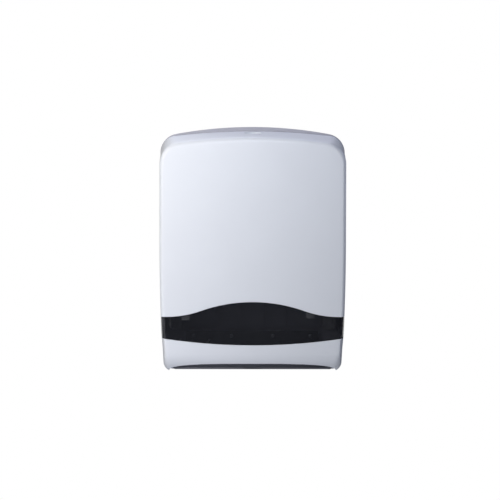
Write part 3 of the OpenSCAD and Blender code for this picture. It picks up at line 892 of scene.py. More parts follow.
@dataclass
class FrontCover:
    """The swinging cover: its moulding, the smoked window and the clips behind it."""

    house: Housing
    window_crest: float = 105.0
    window_shoulder: float = 82.6
    window_sill: float = 41.4
    sill_rise: float = 10.2
    shoulder_w: float = 8.8
    crest_share: float = 0.59
    window_wrap: float = 46.0
    window_gap: float = 0.3
    flange_w: float = 6.0
    flange_t: float = 1.8
    flange_gap: float = 0.2
    clip_span: float = 184.0
    clip_shift: float = 7.0
    clip_w: float = 12.0
    clip_t: float = 2.4
    clip_drop: float = 8.0
    clip_rise: float = 9.0
    clip_set: float = 1.6
    stud_r: float = 2.0
    stud_rise: float = 4.0
    stud_reach: float = 3.4
    hub_r: float = 3.6
    hub_h: float = 2.4
    ledge_w: float = 12.0
    ledge_t: float = 2.0
    ear_reach: float = 12.0
    foot_w: float = 9.0
    arch_h: float = 13.6
    lock_y: float = -46.0
    recess_h: float = 3.4
    seat_t: float = 3.0
    recess_d: float = 26.0
    lock_bore_r: float = 9.1
    pin_bore_r: float = 2.55
    edge_ease: float = 0.45

    @property
    def window_rear(self) -> float:
        """How far back the window wraps round the sides."""
        return -self.house.depth + self.window_wrap + self.house.front_bow

    @property
    def seat_z(self) -> float:
        """Height of the lock's seat in the crown."""
        house = self.house
        fall = house.top_draft * (house.rear_y - self.lock_y) / house.crown_run
        return house.cover_top - fall - self.recess_h

    @property
    def clip_xs(self) -> tuple[float, float]:
        """Where the two clips stand along the window."""
        return -self.clip_span / 2 - self.clip_shift, self.clip_span / 2 - self.clip_shift

    def clip_y(self, x: float) -> float:
        """Middle of a clip behind the window's flange."""
        front = self.house.front_y(x, float(self.wave(x)))
        return front + self.house.cover_wall + self.flange_t + self.clip_set

    def stud_z(self, x: float) -> float:
        """Height of the stud that carries a clip."""
        return float(self.wave(x)) + self.flange_w + self.stud_rise

    def wave(self, x: np.ndarray) -> np.ndarray:
        """Height of the window's upper edge: a crest arc, a reverse arc and level shoulders."""
        reach = self.house.cover_hw - self.house.side_draft - self.shoulder_w
        turn = 2 * math.atan((self.window_crest - self.window_shoulder) / reach)
        radius = reach / math.sin(turn)
        crest_r = radius * self.crest_share
        trough_r = radius - crest_r
        u = np.minimum(np.abs(x), reach)
        crest = self.window_crest - crest_r + np.sqrt(np.maximum(0, crest_r**2 - u * u))
        trough = self.window_shoulder + trough_r - np.sqrt(np.maximum(0, trough_r**2 - (reach - u) ** 2))
        return self.house.foot_z + np.where(u <= crest_r * math.sin(turn), crest, trough)

    def sill(self, x: np.ndarray) -> np.ndarray:
        """Height of the window's lower edge, one wide arc."""
        radius = (self.house.cover_hw**2 + self.sill_rise**2) / (2 * self.sill_rise)
        return self.house.foot_z + self.window_sill + radius - np.sqrt(radius**2 - np.asarray(x) ** 2)

    def band(self, name: str, grow: float, rear: float) -> bpy.types.Object:
        """The window's outline in the front view, as a prism.

        Args:
            name: Name of the object.
            grow: How much larger it is all round.
            rear: Where it ends towards the wall.

        Returns:
            The prism.
        """
        x = np.linspace(-self.house.half_w - 5, self.house.half_w + 5, 221)
        upper = np.column_stack([x, self.wave(x) + grow])
        lower = np.column_stack([x, self.sill(x) - grow])
        return prism(name, np.vstack([lower, upper[::-1]]), Axis.Y, -FAR, rear)

    def window_edge(self) -> tuple[np.ndarray, np.ndarray]:
        """The edge of the window opening on the outer skin.

        Returns:
            Its points in order, and the outward direction at each.
        """
        house = self.house
        runs = []
        for level in (self.wave, self.sill):
            s = np.concatenate(
                [np.linspace(0, 1, 90), np.linspace(1, 2, 15)[1:], np.linspace(2, 3, 60)[1:]]
            )
            z = level(s * 0)
            for _ in range(4):
                z = level(house.on_skin(s, z)[:, 0])
            keep = house.on_skin(s, z)[:, 1] <= self.window_rear
            runs.append((s[keep], z[keep]))
        (top_s, top_z), (low_s, low_z) = runs
        drop = np.linspace(0, 1, 24)[1:-1]
        s = np.concatenate([top_s, top_s[-1] + (low_s[-1] - top_s[-1]) * drop, low_s[::-1]])
        z = np.concatenate([top_z, top_z[-1] + (low_z[-1] - top_z[-1]) * drop, low_z[::-1]])
        step = 1e-3
        across = house.on_skin(s + step, z) - house.on_skin(np.maximum(s - step, 0), z)
        up = house.on_skin(s, z + step) - house.on_skin(s, z - step)
        out = np.cross(across, up)
        out /= np.linalg.norm(out, axis=1)[:, None]
        path = house.on_skin(s, z)
        mirror = np.array([-1, 1, 1])
        path = np.vstack([path, path[-2:0:-1] * mirror])
        out = np.vstack([out, out[-2:0:-1] * mirror])
        return path, out

    def arch(self) -> np.ndarray:
        """Outline of the outlet arch in the front view, from its left tip to its right one."""
        reach = self.house.cover_hw - self.house.side_tuck - self.foot_w
        u = np.sin(np.linspace(-np.pi / 2, np.pi / 2, 121))
        z = self.house.foot_z + self.arch_h * np.maximum(0, 1 - np.abs(u) ** 3) ** (1 / 3)
        return np.column_stack([reach * u, z])

    def arch_edge(self) -> tuple[np.ndarray, np.ndarray]:
        """The edge of the arch on the roll at the base.

        Returns:
            Its points in order, and the outward direction at each.
        """
        house = self.house
        x, z = self.arch().T
        turn = np.arccos(np.clip(1 - (z - house.foot_z) / house.roll_r, -1, 1))
        y = house.front_y(x, z) + house.roll_r * (1 - np.sin(turn))
        out = np.column_stack([np.zeros(len(x)), -np.sin(turn), -np.cos(turn)])
        return np.column_stack([x, y, z]), out

    def hinge_ears(self) -> list[bpy.types.Object]:
        """Two eyes on the floor of the cover that take the hinge pins."""
        house = self.house
        y, r, base = house.hinge[0], house.lug_r, house.foot_z + 0.5
        eye = house.hinge + r * unit_arc(0, np.pi, 25)
        outline = np.vstack([[(y - r - self.ear_reach, base), (y + r, base)], eye])
        return on_both_sides("ear", outline, house.ear_in, house.ear_in + house.hinge_t)

    def swing_reliefs(self) -> list[bpy.types.Object]:
        """What the swing takes off the feet behind the hinge axis."""
        house = self.house
        y, z = house.hinge
        r = house.hinge_set - house.passing
        sweep = house.hinge + r * unit_arc(0, -np.pi / 2, 25)
        base, rear = house.foot_z - 1, y + house.hinge_set + 2
        outline = np.vstack([[(y, base), (rear, base), (rear, z)], sweep])
        return on_both_sides("relief", outline, house.ear_in - 1, FAR)

    def window_holders(self) -> list[bpy.types.Object]:
        """Studs for the clips and ledges under the window's flange."""
        house = self.house
        made = []
        for x in self.clip_xs:
            r, end = self.stud_r, self.clip_y(x) + self.stud_reach
            profile = [(r, house.front_y(x, 0.0) + 1), (r, end - 0.4), (r - 0.4, end)]
            made.append(turned("stud", profile, Axis.Y, (x, 0, self.stud_z(x)), steps=32))
        half = self.ledge_w / 2
        for middle in (-house.cover_hw / 2, 0.0, house.cover_hw / 2):
            z = float(self.sill(max(0.0, abs(middle) - half))) - self.flange_w - self.window_gap
            front = house.front_y(middle, house.foot_z) + house.cover_wall / 2
            back = front + house.cover_wall / 2 + self.flange_t + 2.5
            made.append(block("ledge", (middle - half, front, z - self.ledge_t), (middle + half, back, z)))
        return made

    def make_clips(self) -> None:
        """Builds the two clips that press on the window's flange."""
        house = self.house
        lean = -math.atan(house.front_lean / house.height)
        clips = []
        for x in self.clip_xs:
            y, z = self.clip_y(x), float(self.wave(x))
            turn = math.atan(2 * house.front_bow * x / house.cover_hw**2)
            low = (-self.clip_w / 2, -self.clip_t / 2, -self.clip_drop)
            high = (self.clip_w / 2, self.clip_t / 2, self.flange_w + self.clip_rise)
            clip = eased("window_clips_moulded", low, high, 0.5)
            stand = Matrix.Translation(Vector((x, y, z)) * MM)
            clip.data.transform(stand @ Euler((lean, 0, turn)).to_matrix().to_4x4())
            centre = (x, y, self.stud_z(x))
            hub = [(self.hub_r, 0), (self.hub_r, self.hub_h - 0.4), (self.hub_r - 0.4, self.hub_h)]
            combine(clip, Join.ADD, turned("hub", hub, Axis.Y, centre, steps=40))
            bore = self.stud_r + 0.1
            combine(clip, Join.CUT, turned("hub_bore", [(bore, -9), (bore, 9)], Axis.Y, centre, steps=40))
            clips.append(clip)
        dress(settle(combine(clips[0], Join.ADD, clips[1])), WHITE_POM, Body.COVER, "window_clips")

    def lock_seat(self) -> bpy.types.Object:
        """The cup in the crown that carries the lock."""
        seat = self.house.form("lock_seat", 0.4)
        r = self.recess_d / 2 + self.house.cover_wall
        low = self.seat_z - self.seat_t
        cup = turned("cup", [(r, low), (r, low + 30)], Axis.Z, (0, self.lock_y, 0))
        return combine(seat, Join.KEEP, cup)

    def mould(self) -> None:
        """Builds the cover's moulding."""
        house = self.house
        cover = house.shell("cover_moulding", 0.0, house.cover_wall, 0.5)
        combine(cover, Join.ADD, self.lock_seat(), *self.hinge_ears(), *self.window_holders())
        arch = self.arch()
        arch = np.vstack([arch, [(arch[-1, 0], -FAR), (arch[0, 0], -FAR)]])
        pin = [(self.pin_bore_r, -FAR), (self.pin_bore_r, FAR)]
        axis = (0, self.lock_y, self.seat_z)
        r = self.recess_d / 2
        combine(
            cover,
            Join.CUT,
            self.band("window_opening", 0.0, self.window_rear),
            prism("outlet_arch", arch, Axis.Y, -FAR, -house.rim_depth - house.hinge_set - 40),
            block(
                "floor_opening",
                (-house.ear_in + 0.01, -house.depth + house.roll_r + 10, house.foot_z - 1),
                (house.ear_in - 0.01, 50.0, house.foot_z + house.cover_wall + 2),
            ),
            *self.swing_reliefs(),
            turned("recess", [(r, 0), (r, 40)], Axis.Z, axis),
            turned("lock_bore", [(self.lock_bore_r, -10), (self.lock_bore_r, 40)], Axis.Z, axis),
            turned("pin_bore", pin, Axis.X, (0, *house.hinge), steps=40),
            chamfer_tool("window_chamfer", *self.window_edge(), self.edge_ease, Ends.LOOP),
            chamfer_tool("arch_chamfer", *self.arch_edge(), self.edge_ease, Ends.FLAT),
        )
        dress(settle(cover), WHITE_ABS, Body.COVER, "front_cover")

    def glaze(self) -> None:
        """Builds the smoked window with the flange that holds it."""
        house = self.house
        inner = house.cover_wall + self.flange_gap + self.flange_t
        pane = house.shell("smoked_window", 0.0, inner, 0.3)
        outline = self.band("pane_outline", -self.window_gap, self.window_rear - self.window_gap)
        combine(pane, Join.KEEP, outline)
        flange = house.shell("window_flange", inner - self.flange_t, inner, 0.3)
        outline = self.band("flange_outline", self.flange_w, self.window_rear + self.flange_w - 1)
        combine(flange, Join.KEEP, outline)
        combine(pane, Join.ADD, flange)
        dress(settle(pane), SMOKED_PC, Body.COVER, "window_lens")

    def build(self) -> None:
        """Builds the sub-assembly."""
        self.mould()
        self.glaze()
        self.make_clips()


@dataclass(frozen=True)
class Screw:
    """A screw with a pan head and a cross recess. Its head lies on the low side of its axis."""

    shank_r: float = 1.4
    head_r: float = 3.2
    head_h: float = 2.1
    length: float = 8.0
    recess: float = 1.2

    def drive(self, name: str, axis: Axis, place: Sequence[float], seat: float) -> bpy.types.Object:
        """Makes the screw in its hole.

        Args:
            name: Name of the object.
            axis: Direction of the screw.
            place: Where its axis stands, across and up.
            seat: Where the underside of its head lies along the axis.

        Returns:
            The screw.
        """
        r, h = self.head_r, self.head_h
        profile = [
            (0.5, self.length), (self.shank_r, self.length - 1.2), (self.shank_r, 0.0),
            (r - 0.15, 0.0), (r, -0.15), (r, -0.5 * h), (0.94 * r, -0.68 * h), (0.78 * r, -0.86 * h),
            (0.52 * r, -0.97 * h), (0.2 * r, -h),
        ]
        screw = turned(name, profile, axis, axis.place(np.array([place]), seat)[0], steps=48)
        arm, slot = 0.56 * r, 0.15 * r
        corner = np.array([(arm, -slot), (arm, slot), (slot, slot)])
        quarter = np.array([(0, 1), (-1, 0)])
        cross = np.vstack([corner @ np.linalg.matrix_power(quarter, k) for k in range(4)])
        tool = prism("cross_recess", cross + np.asarray(place), axis, seat - h - 1, seat - h + self.recess)
        return combine(screw, Join.CUT, tool)

    def drive_all(
        self, name: str, axis: Axis, places: Sequence[Sequence[float]], seat: float
    ) -> bpy.types.Object:
        """Makes a set of equal screws as one piece.

        Args:
            name: Name of the object.
            axis: Direction of the screws.
            places: Where their axes stand, across and up.
            seat: Where the undersides of their heads lie along the axis.

        Returns:
            The set.
        """
        first, *others = [self.drive(name, axis, place, seat) for place in places]
        if others:
            combine(first, Join.ADD, *others)
        return settle(first)


@dataclass
class CamLock:
    """The lock in the crown: its body and nut in the cover, and what the key turns."""

    cover: FrontCover
    barrel_d: float = 12.0
    body_d: float = 18.0
    length: float = 20.0
    flange_h: float = 2.0
    nut_h: float = 5.0
    cam_reach: float = 22.4
    steel_t: float = 2.0
    hook_h: float = 7.0
    pitch: float = 1.5
    thread_h: float = 0.45

    @property
    def cam_top(self) -> float:
        """Upper face of the cam."""
        return self.cover.seat_z - self.length - self.cover.house.passing

    @property
    def cam_low(self) -> float:
        """Lower face of the cam."""
        return self.cam_top - self.steel_t

    @property
    def foot(self) -> tuple[float, float, float]:
        """The point of the lock axis from which heights count."""
        return 0.0, self.cover.lock_y, 0.0

    def make_body(self) -> None:
        """Builds the body with its flange, its bore and a thread for the nut."""
        seat = self.cover.seat_z
        top = seat + self.flange_h
        bore, cup = self.barrel_d / 2 + 0.05, self.barrel_d / 2 + 1.75
        flange, core = self.cover.recess_d / 2 - 2, self.body_d / 2
        circle, turn = unit_circle(96), np.arange(96) / 96
        profile = [
            (bore, seat - self.length), (bore, top - 1.2), (cup, top - 1.2), (cup, top - 0.2),
            (cup + 0.2, top), (flange - 0.7, top), (flange, top - 0.7), (flange, seat),
            (core, seat), (core, seat - 1),
        ]
        rings = [Axis.Z.place(circle * r, z) for r, z in profile]
        for z in np.arange(seat - 1.25, seat - self.length + 0.7, -0.25):
            groove = self.thread_h * np.abs(2 * ((z / self.pitch + turn) % 1) - 1)
            rings.append(Axis.Z.place(circle * (core - groove)[:, None], z))
        rings.append(Axis.Z.place(circle * (core - 0.6), seat - self.length))
        body = loft("lock_body_threaded", [ring + np.asarray(self.foot) for ring in rings], Ends.LOOP)
        dress(settle(body), LOCK_CHROME, Body.COVER, "lock_body")

    def make_nut(self) -> None:
        """Builds the hexagon nut under the lock's seat."""
        high = self.cover.seat_z - self.cover.seat_t
        low = high - self.nut_h
        r, bore = self.body_d / 2 + 4.6, self.body_d / 2 + 0.05
        hexagon = r * unit_circle(6) + self.foot[:2]
        nut = prism("lock_nut_hexagon", hexagon, Axis.Z, low, high)
        rounding = [(r - 1.6, low), (r + 0.1, low + 1), (r + 0.1, high - 1), (r - 1.6, high)]
        combine(nut, Join.KEEP, turned("nut_rounding", rounding, Axis.Z, self.foot))
        hole = [(bore + 0.6, low - 0.01), (bore, low + 0.6), (bore, high - 0.6), (bore + 0.6, high + 0.01)]
        combine(nut, Join.CUT, turned("nut_bore", hole, Axis.Z, self.foot))
        dress(settle(nut), ZINC_STEEL, Body.COVER, "lock_nut")

    def make_barrel(self) -> None:
        """Builds the barrel with its head, its key slot and its square tail."""
        top, r, y = self.cover.seat_z + self.flange_h, self.barrel_d / 2, self.cover.lock_y
        profile = [
            (r - 0.4, self.cam_top), (r, self.cam_top + 0.4), (r, top - 1.1), (r + 1.4, top - 1.1),
            (r + 1.6, top - 0.9), (r + 1.6, top - 0.4), (r + 1.2, top),
        ]
        barrel = turned("lock_barrel_turned", profile, Axis.Z, self.foot)
        half = self.tail / 2
        square = (-half, y - half, self.cam_low + 0.1), (half, y + half, self.cam_top + 1)
        combine(barrel, Join.ADD, eased("tail", *square, 0.3))
        combine(
            barrel,
            Join.CUT,
            block("key_slot", (-3.6, y - 1, top - 6), (3.6, y + 1, top + 4)),
            turned("key_dish", [(3.0, top - 0.5), (4.3, top + 0.01), (4.3, top + 1)], Axis.Z, self.foot),
            turned("screw_hole", [(1.5, self.cam_low - 1), (1.5, self.cam_low + 11)], Axis.Z, self.foot),
        )
        dress(settle(barrel), LOCK_CHROME, Body.LOCK, "lock_barrel")

    @property
    def tail(self) -> float:
        """Width of the barrel's square tail."""
        return 0.55 * self.barrel_d

    def make_cam(self) -> None:
        """Builds the cam: a disc on the tail and a strip that is bent up into a hook."""
        low, top, end, y = self.cam_low, self.cam_top, self.cam_reach + 3, self.cover.lock_y
        tip = top + self.hook_h
        back = end - self.steel_t
        bent = [(0, low), (end, low), (end, tip), (back, tip), (back, top), (0, top)]
        strip = prism("cam_strip", soften(bent, [0, 2.2, 0.5, 0.5, 0.4, 0]), Axis.Y, y - 5, y + 5)
        r = self.barrel_d / 2 + 1.5
        disc = [(r - 0.3, low), (r, low + 0.3), (r, top - 0.3), (r - 0.3, top)]
        cam = combine(turned("lock_cam_bent", disc, Axis.Z, self.foot), Join.ADD, settle(strip, 0.25))
        half = self.tail / 2 + 0.03
        combine(cam, Join.CUT, block("tail_hole", (-half, y - half, low - 1), (half, y + half, top + 1)))
        dress(settle(cam), ZINC_STEEL, Body.LOCK, "lock_cam")

    def make_washer(self) -> None:
        """Builds the washer under the cam."""
        low, r = self.cam_low - 1, 0.95 * self.tail
        profile = [
            (1.55, low), (1.55, low + 1), (r - 0.15, low + 1),
            (r, low + 0.85), (r, low + 0.15), (r - 0.15, low),
        ]
        washer = turned("cam_washer_punched", profile, Axis.Z, self.foot, Ends.LOOP)
        dress(settle(washer), ZINC_STEEL, Body.LOCK, "cam_washer")

    def build(self) -> None:
        """Builds the sub-assembly."""
        self.make_body()
        self.make_nut()
        self.make_barrel()
        self.make_cam()
        self.make_washer()
        screw = Screw(head_h=2.2, length=10.0)
        screw = screw.drive_all("cam_screw_pan", Axis.Z, [self.foot[:2]], self.cam_low - 1)
        dress(screw, ZINC_STEEL, Body.LOCK, "cam_screw")


@dataclass
class BackUnit:
    """What stays on the wall: the plate, the tray, the guides, the keeper, the pins and the screws."""

    house: Housing
    lock: CamLock
    rim_t: float = 2.5
    lip_reach: float = 7.0
    lip_t: float = 1.6
    slot_span: tuple[float, float] = (180.0, 200.0)
    slot_size: tuple[float, float] = (12.0, 6.0)
    tray_lift: float = 27.0
    tray_wall: float = 2.5
    tray_lip: float = 12.0
    skirt_lift: float = 3.5
    flange_up: float = 25.0
    flange_down: float = 13.0
    outlet: tuple[float, float] = (180.0, 44.0)
    collar_h: float = 23.5
    notch: tuple[float, float] = (30.0, 4.5)
    paper_room: float = 19.5
    guide_t: float = 2.5
    guide_d: float = 58.0
    guide_h: float = 236.0
    guide_flange: float = 15.0
    keeper_size: tuple[float, float] = (42.0, 16.0)
    keeper_w: float = 12.0
    keeper_span: float = 28.0
    boss_r: float = 4.1
    pilot_r: float = 1.5
    clear_r: float = 1.6
    hole_reach: float = 40.0
    rib_xs: tuple[float, ...] = (-52.0, -18.0, 18.0, 52.0)
    pad_w: float = 9.0
    pin_r: float = 2.5
    screw: Screw = Screw()

    @property
    def root_y(self) -> float:
        """Where the things that stand on the plate begin, a little inside its face."""
        return 0.5 - self.house.plate_t

    @property
    def tray_z(self) -> float:
        """Upper face of the tray's shelf."""
        return self.house.foot_z + self.tray_lift

    @property
    def skirt_y(self) -> float:
        """Front face of the tray."""
        return -self.house.depth + self.house.front_bow + 0.58 * self.house.roll_r

    @property
    def tray_hw(self) -> float:
        """Half the width of the tray."""
        return self.house.half_w - self.paper_room - 2

    @property
    def flange_hw(self) -> float:
        """Half the width of the tray's flange on the plate."""
        return self.house.lug_in - 3

    @property
    def guide_x(self) -> float:
        """Inner face of the right guide."""
        return self.house.half_w - self.paper_room + 1.5

    @property
    def guide_low(self) -> float:
        """Lower end of the guides."""
        return self.tray_z + self.flange_up + 2

    @property
    def arm_z(self) -> float:
        """Underside of the keeper's arm."""
        return self.lock.cam_top + self.lock.hook_h + 1.5

    @property
    def tray_screws(self) -> list[tuple[float, float]]:
        """Places of the tray's screws, as x and z."""
        return [(u * self.flange_hw, self.tray_z + self.flange_up - 8) for u in (-0.88, -0.31, 0.31, 0.88)]

    @property
    def guide_screws(self) -> list[tuple[float, float]]:
        """Places of the guides' screws, as x and z."""
        x = self.guide_x - self.guide_flange / 2
        levels = [self.guide_low + self.guide_h * share for share in (0.16, 0.84)]
        return [(side * x, z) for side in (-1, 1) for z in levels]

    @property
    def keeper_screws(self) -> list[tuple[float, float]]:
        """Places of the keeper's screws, as x and z."""
        z = self.arm_z - self.keeper_size[1] / 2 + self.lock.steel_t
        return [(side * self.keeper_span / 2, z) for side in (-1, 1)]

    def holes(
        self, places: Sequence[tuple[float, float]], radius: float, deep: float
    ) -> list[bpy.types.Object]:
        """Tools for screw holes along Y.

        Args:
            places: Where the holes stand, as x and z.
            radius: Their radius.
            deep: Where they end towards the wall.

        Returns:
            The tools.
        """
        profile = [(radius, -self.hole_reach), (radius, deep)]
        return [turned("hole", profile, Axis.Y, (x, 0, z), steps=32) for x, z in places]

    def crest_hollow(self) -> bpy.types.Object:
        """The hollow that lightens the rim behind its crest."""
        house = self.house
        x = np.linspace(-0.32, 0.32, 49) * house.width
        edges = []
        for top, radius in (
            (house.cover_top, house.cover_arch_r),
            (house.height / 2 - self.rim_t, house.plate_arch_r - self.rim_t),
        ):
            edges.append(np.column_stack([x, top - radius + np.sqrt(radius**2 - x**2)]))
        outline = np.vstack([edges[0], edges[1][::-1]])
        return prism("crest_hollow", outline, Axis.Y, self.rim_t - house.rim_depth, 1.0)

    def dish(self) -> bpy.types.Object:
        """The plate with its rim, which is left out at the hinge."""
        house = self.house
        rings = []
        for t, y in ((0.6, 0.0), (0.0, -0.6), (0.0, 0.5 - house.rim_depth), (0.5, -house.rim_depth)):
            rings.append(Axis.Y.place(house.plate(t), y))
        front = -house.rim_depth
        for t, y in ((-0.5, front), (0.0, front + 0.5), (0.0, -house.plate_t - 0.6), (0.6, -house.plate_t)):
            inset = house.cover_wall + t
            inner = house.cover_rear(inset)
            inner[:, 1] = np.maximum(inner[:, 1], house.foot_z + house.plate_lift + inset)
            rings.append(Axis.Y.place(inner, y))
        level = house.foot_z - 1 + house.hinge_lift + house.hinge_set - house.passing + 3
        gap = block("rim_gap", (-FAR, -FAR, -FAR), (FAR, -house.plate_t, level))
        return combine(loft("plate_moulding", rings), Join.CUT, gap)

    def lip(self) -> bpy.types.Object:
        """The lip of the plate that finds the inside of the cover."""
        house = self.house
        out = house.cover_wall + house.passing + house.top_draft * self.lip_reach / house.crown_run
        front = house.rear_y - self.lip_reach
        section = [
            (0.0, self.root_y), (0.0, front + 0.4), (0.4, front), (self.lip_t - 0.4, front),
            (self.lip_t, front + 0.4), (self.lip_t, self.root_y),
        ]
        lip = loft("lip", [Axis.Y.place(house.cover_rear(out + t), y) for t, y in section], Ends.LOOP)
        level = house.foot_z - 1 + self.tray_lift + self.flange_up
        return combine(lip, Join.CUT, block("lip_gap", (-FAR, -FAR, -FAR), (FAR, FAR, level)))

    def lugs(self) -> list[bpy.types.Object]:
        """The two hinge lugs: round eyes on arms from the plate."""
        house = self.house
        z, r = house.hinge[1], house.lug_r
        eye = house.hinge + r * unit_arc(np.pi / 2, 3 * np.pi / 2, 33)
        outline = np.vstack([[(self.root_y, z - r), (self.root_y, z + 3 * r)], eye])
        return on_both_sides("lug", outline, house.lug_in, house.lug_in + house.hinge_t, 0.3)

    def make_plate(self) -> None:
        """Builds the back plate."""
        house = self.house
        places = self.tray_screws + self.guide_screws + self.keeper_screws
        root, face, front, r = self.root_y, -house.plate_t, house.boss_y, self.boss_r
        boss = [(r + 0.8, root), (r + 0.8, face), (r, face - 0.8), (r, front + 0.3), (r - 0.3, front)]
        added = [turned("boss", boss, Axis.Y, (x, 0, z), steps=48) for x, z in places]
        rib = np.array([(-0.9, root), (-0.8, -5.2), (-0.6, -5.4), (0.6, -5.4), (0.8, -5.2), (0.9, root)])
        low = self.tray_screws[0][1] + 14
        high = low + self.guide_h - 8
        added += [prism("rib", rib + [x, 0], Axis.Z, low, high) for x in self.rib_xs]
        slots = []
        length, width = self.slot_size
        corners = np.array([(-1, -1), (-1, 1), (1, -1), (1, 1)]) * self.slot_span / 2
        pad = [(self.pad_w, root), (self.pad_w, -4.3), (self.pad_w - 0.6, -4.6)]
        for place in corners:
            rings = [Axis.Y.place(obround(length + w, width + w, place), y) for w, y in pad]
            added.append(loft("pad", rings))
            slots.append(prism("slot", obround(length, width, place), Axis.Y, -10.0, 1.0))
        fit = self.pin_r + 0.02
        bore = turned("bore", [(fit, -FAR), (fit, FAR)], Axis.X, (0, *house.hinge), steps=40)
        plate = combine(self.dish(), Join.ADD, self.lip(), *added, *self.lugs())
        holes = self.holes(places, self.pilot_r, face)
        combine(plate, Join.CUT, bore, self.crest_hollow(), *slots, *holes)
        dress(settle(plate), GREY_ABS, Body.WALL_UNIT, "back_plate")

    def tray_front(self) -> bpy.types.Object:
        """The tray's front wall: a lip above the shelf and a skirt below it, with a bead and a notch."""
        wide, low = self.tray_hw, self.house.foot_z + self.skirt_lift
        front, back = self.skirt_y, self.skirt_y + self.tray_wall
        face = oblong((-wide, low), (wide, self.tray_z + self.tray_lip), [5, 5, 2, 2])
        wall = settle(prism("outlet_tray_moulded", face, Axis.Y, front, back), 0.4)
        r, end = 0.9 * self.tray_wall, wide - 6
        half = [(r, 0.0), (r, end - 1.4), (0.75 * r, end - 0.4), (0.4, end)]
        bead = [(radius, -x) for radius, x in half[:0:-1]] + half
        middle = (0, front + self.tray_wall / 2, low + r)
        combine(wall, Join.ADD, turned("bead", bead, Axis.X, middle, steps=40))
        width, height = self.notch
        radius = (width**2 / 4 + height**2) / (2 * height)
        reach = [(radius, front - r), (radius, back + r)]
        notch = turned("notch", reach, Axis.Y, (0, 0, low + height - radius), steps=240)
        return combine(wall, Join.CUT, notch)

    def make_tray(self) -> None:
        """Builds the outlet tray."""
        t, z, front, boss_y = self.tray_wall, self.tray_z, self.skirt_y, self.house.boss_y
        wide, back, under = self.tray_hw, boss_y - t, self.tray_z - t
        side_x, foot = self.flange_hw, under - self.flange_down
        flange = oblong((-side_x, foot), (side_x, z + self.flange_up), [2, 2, 4, 4])
        lip = oblong((front + 0.5, z - 1), (boss_y - 12, z + self.tray_lip), [0, 0, 5, 0])
        web = [
            (back + 0.5, under + 0.5), (back + 0.5, foot), (back - 2, foot),
            (front + 30, under - 2), (front + 30, under + 0.5),
        ]
        added = [
            eased("shelf", (-wide, front + 0.5, under), (wide, boss_y - 0.6, z)),
            settle(prism("flange", flange, Axis.Y, back, boss_y), 0.4),
        ]
        added += on_both_sides("side_lip", lip, wide - t, wide, 0.4)
        added += on_both_sides("web", web, side_x - 4, side_x - 4 + t, 0.3)
        length, width = self.outlet
        middle = (0, (front + boss_y) / 2)
        collar = obround(length + 2 * t, width + 2 * t, middle)
        added.append(settle(prism("collar", collar, Axis.Z, under - self.collar_h, z - 1), 0.5))
        tray = combine(self.tray_front(), Join.ADD, *added)
        flare = [(0.0, under - self.collar_h - 1), (0.0, z - 0.8), (1.6, z + 0.01), (1.6, z + 4)]
        slot = loft("outlet", [Axis.Z.place(obround(length + w, width + w, middle), at) for w, at in flare])
        combine(tray, Join.CUT, slot, *self.holes(self.tray_screws, self.clear_r, boss_y + 1))
        dress(settle(tray), DARK_ABS, Body.WALL_UNIT, "outlet_tray")

    def make_guide(self, side: int, node: str) -> None:
        """Builds a paper guide.

        Args:
            side: 1 for the right one, -1 for the left one.
            node: The node that it stands for.
        """
        y, low, high = self.house.boss_y, self.guide_low, self.guide_low + self.guide_h
        front, inner, outer = y - self.guide_d, side * self.guide_x, side * (self.guide_x + self.guide_t)
        outline = [(y, low), (front, low + 10), (front, high - 26), (front + 26, high), (y, high)]
        wall = prism(f"{node}_moulded", soften(outline, [0, 4, 4, 4, 0]), Axis.X, inner, outer)
        for level in (0.2, 0.47, 0.74):
            middle = (y - self.guide_d / 2 - 2, low + self.guide_h * level)
            opening = obround(0.2 * self.guide_h, 0.4 * self.guide_d, middle, upright=True)
            combine(wall, Join.CUT, prism("opening", opening, Axis.X, inner - side, outer + side))
        near, far = self.guide_x - self.guide_flange, self.guide_x + self.guide_t
        foot = oblong((near, low), (far, high), [3, 0.5, 0.5, 3])
        foot = settle(prism("foot", foot * [side, 1], Axis.Y, y - self.guide_t, y), 0.4)
        guide = combine(settle(wall, 0.4), Join.ADD, foot)
        places = [place for place in self.guide_screws if place[0] * side > 0]
        combine(guide, Join.CUT, *self.holes(places, self.clear_r, y + 1))
        dress(settle(guide), PALE_PP, Body.WALL_UNIT, node)

    def make_keeper(self) -> None:
        """Builds the keeper: a plate on the bosses and a strip that is bent down before the hook."""
        t, lock = self.lock.steel_t, self.lock
        y, top = self.house.boss_y - t, self.arm_z + t
        lip_y = lock.cover.lock_y + math.sqrt((lock.cam_reach - 1) ** 2 - (self.keeper_w / 2) ** 2)
        end = lock.cam_top + 2
        bent = [
            (y + 0.5, top), (lip_y - t, top), (lip_y - t, end),
            (lip_y, end), (lip_y, self.arm_z), (y + 0.5, self.arm_z),
        ]
        half = self.keeper_w / 2
        strip = prism("strip", soften(bent, [0, 2.4, 0.5, 0.5, 0.5, 0]), Axis.X, -half, half)
        wide, high = self.keeper_size
        plate = oblong((-wide / 2, top - high), (wide / 2, top), 2.0)
        plate = prism("lock_keeper_bent", plate, Axis.Y, y, self.house.boss_y)
        keeper = combine(settle(plate, 0.25), Join.ADD, settle(strip, 0.25))
        combine(keeper, Join.CUT, *self.holes(self.keeper_screws, self.clear_r, 0.0))
        dress(settle(keeper), ZINC_STEEL, Body.WALL_UNIT, "lock_keeper")

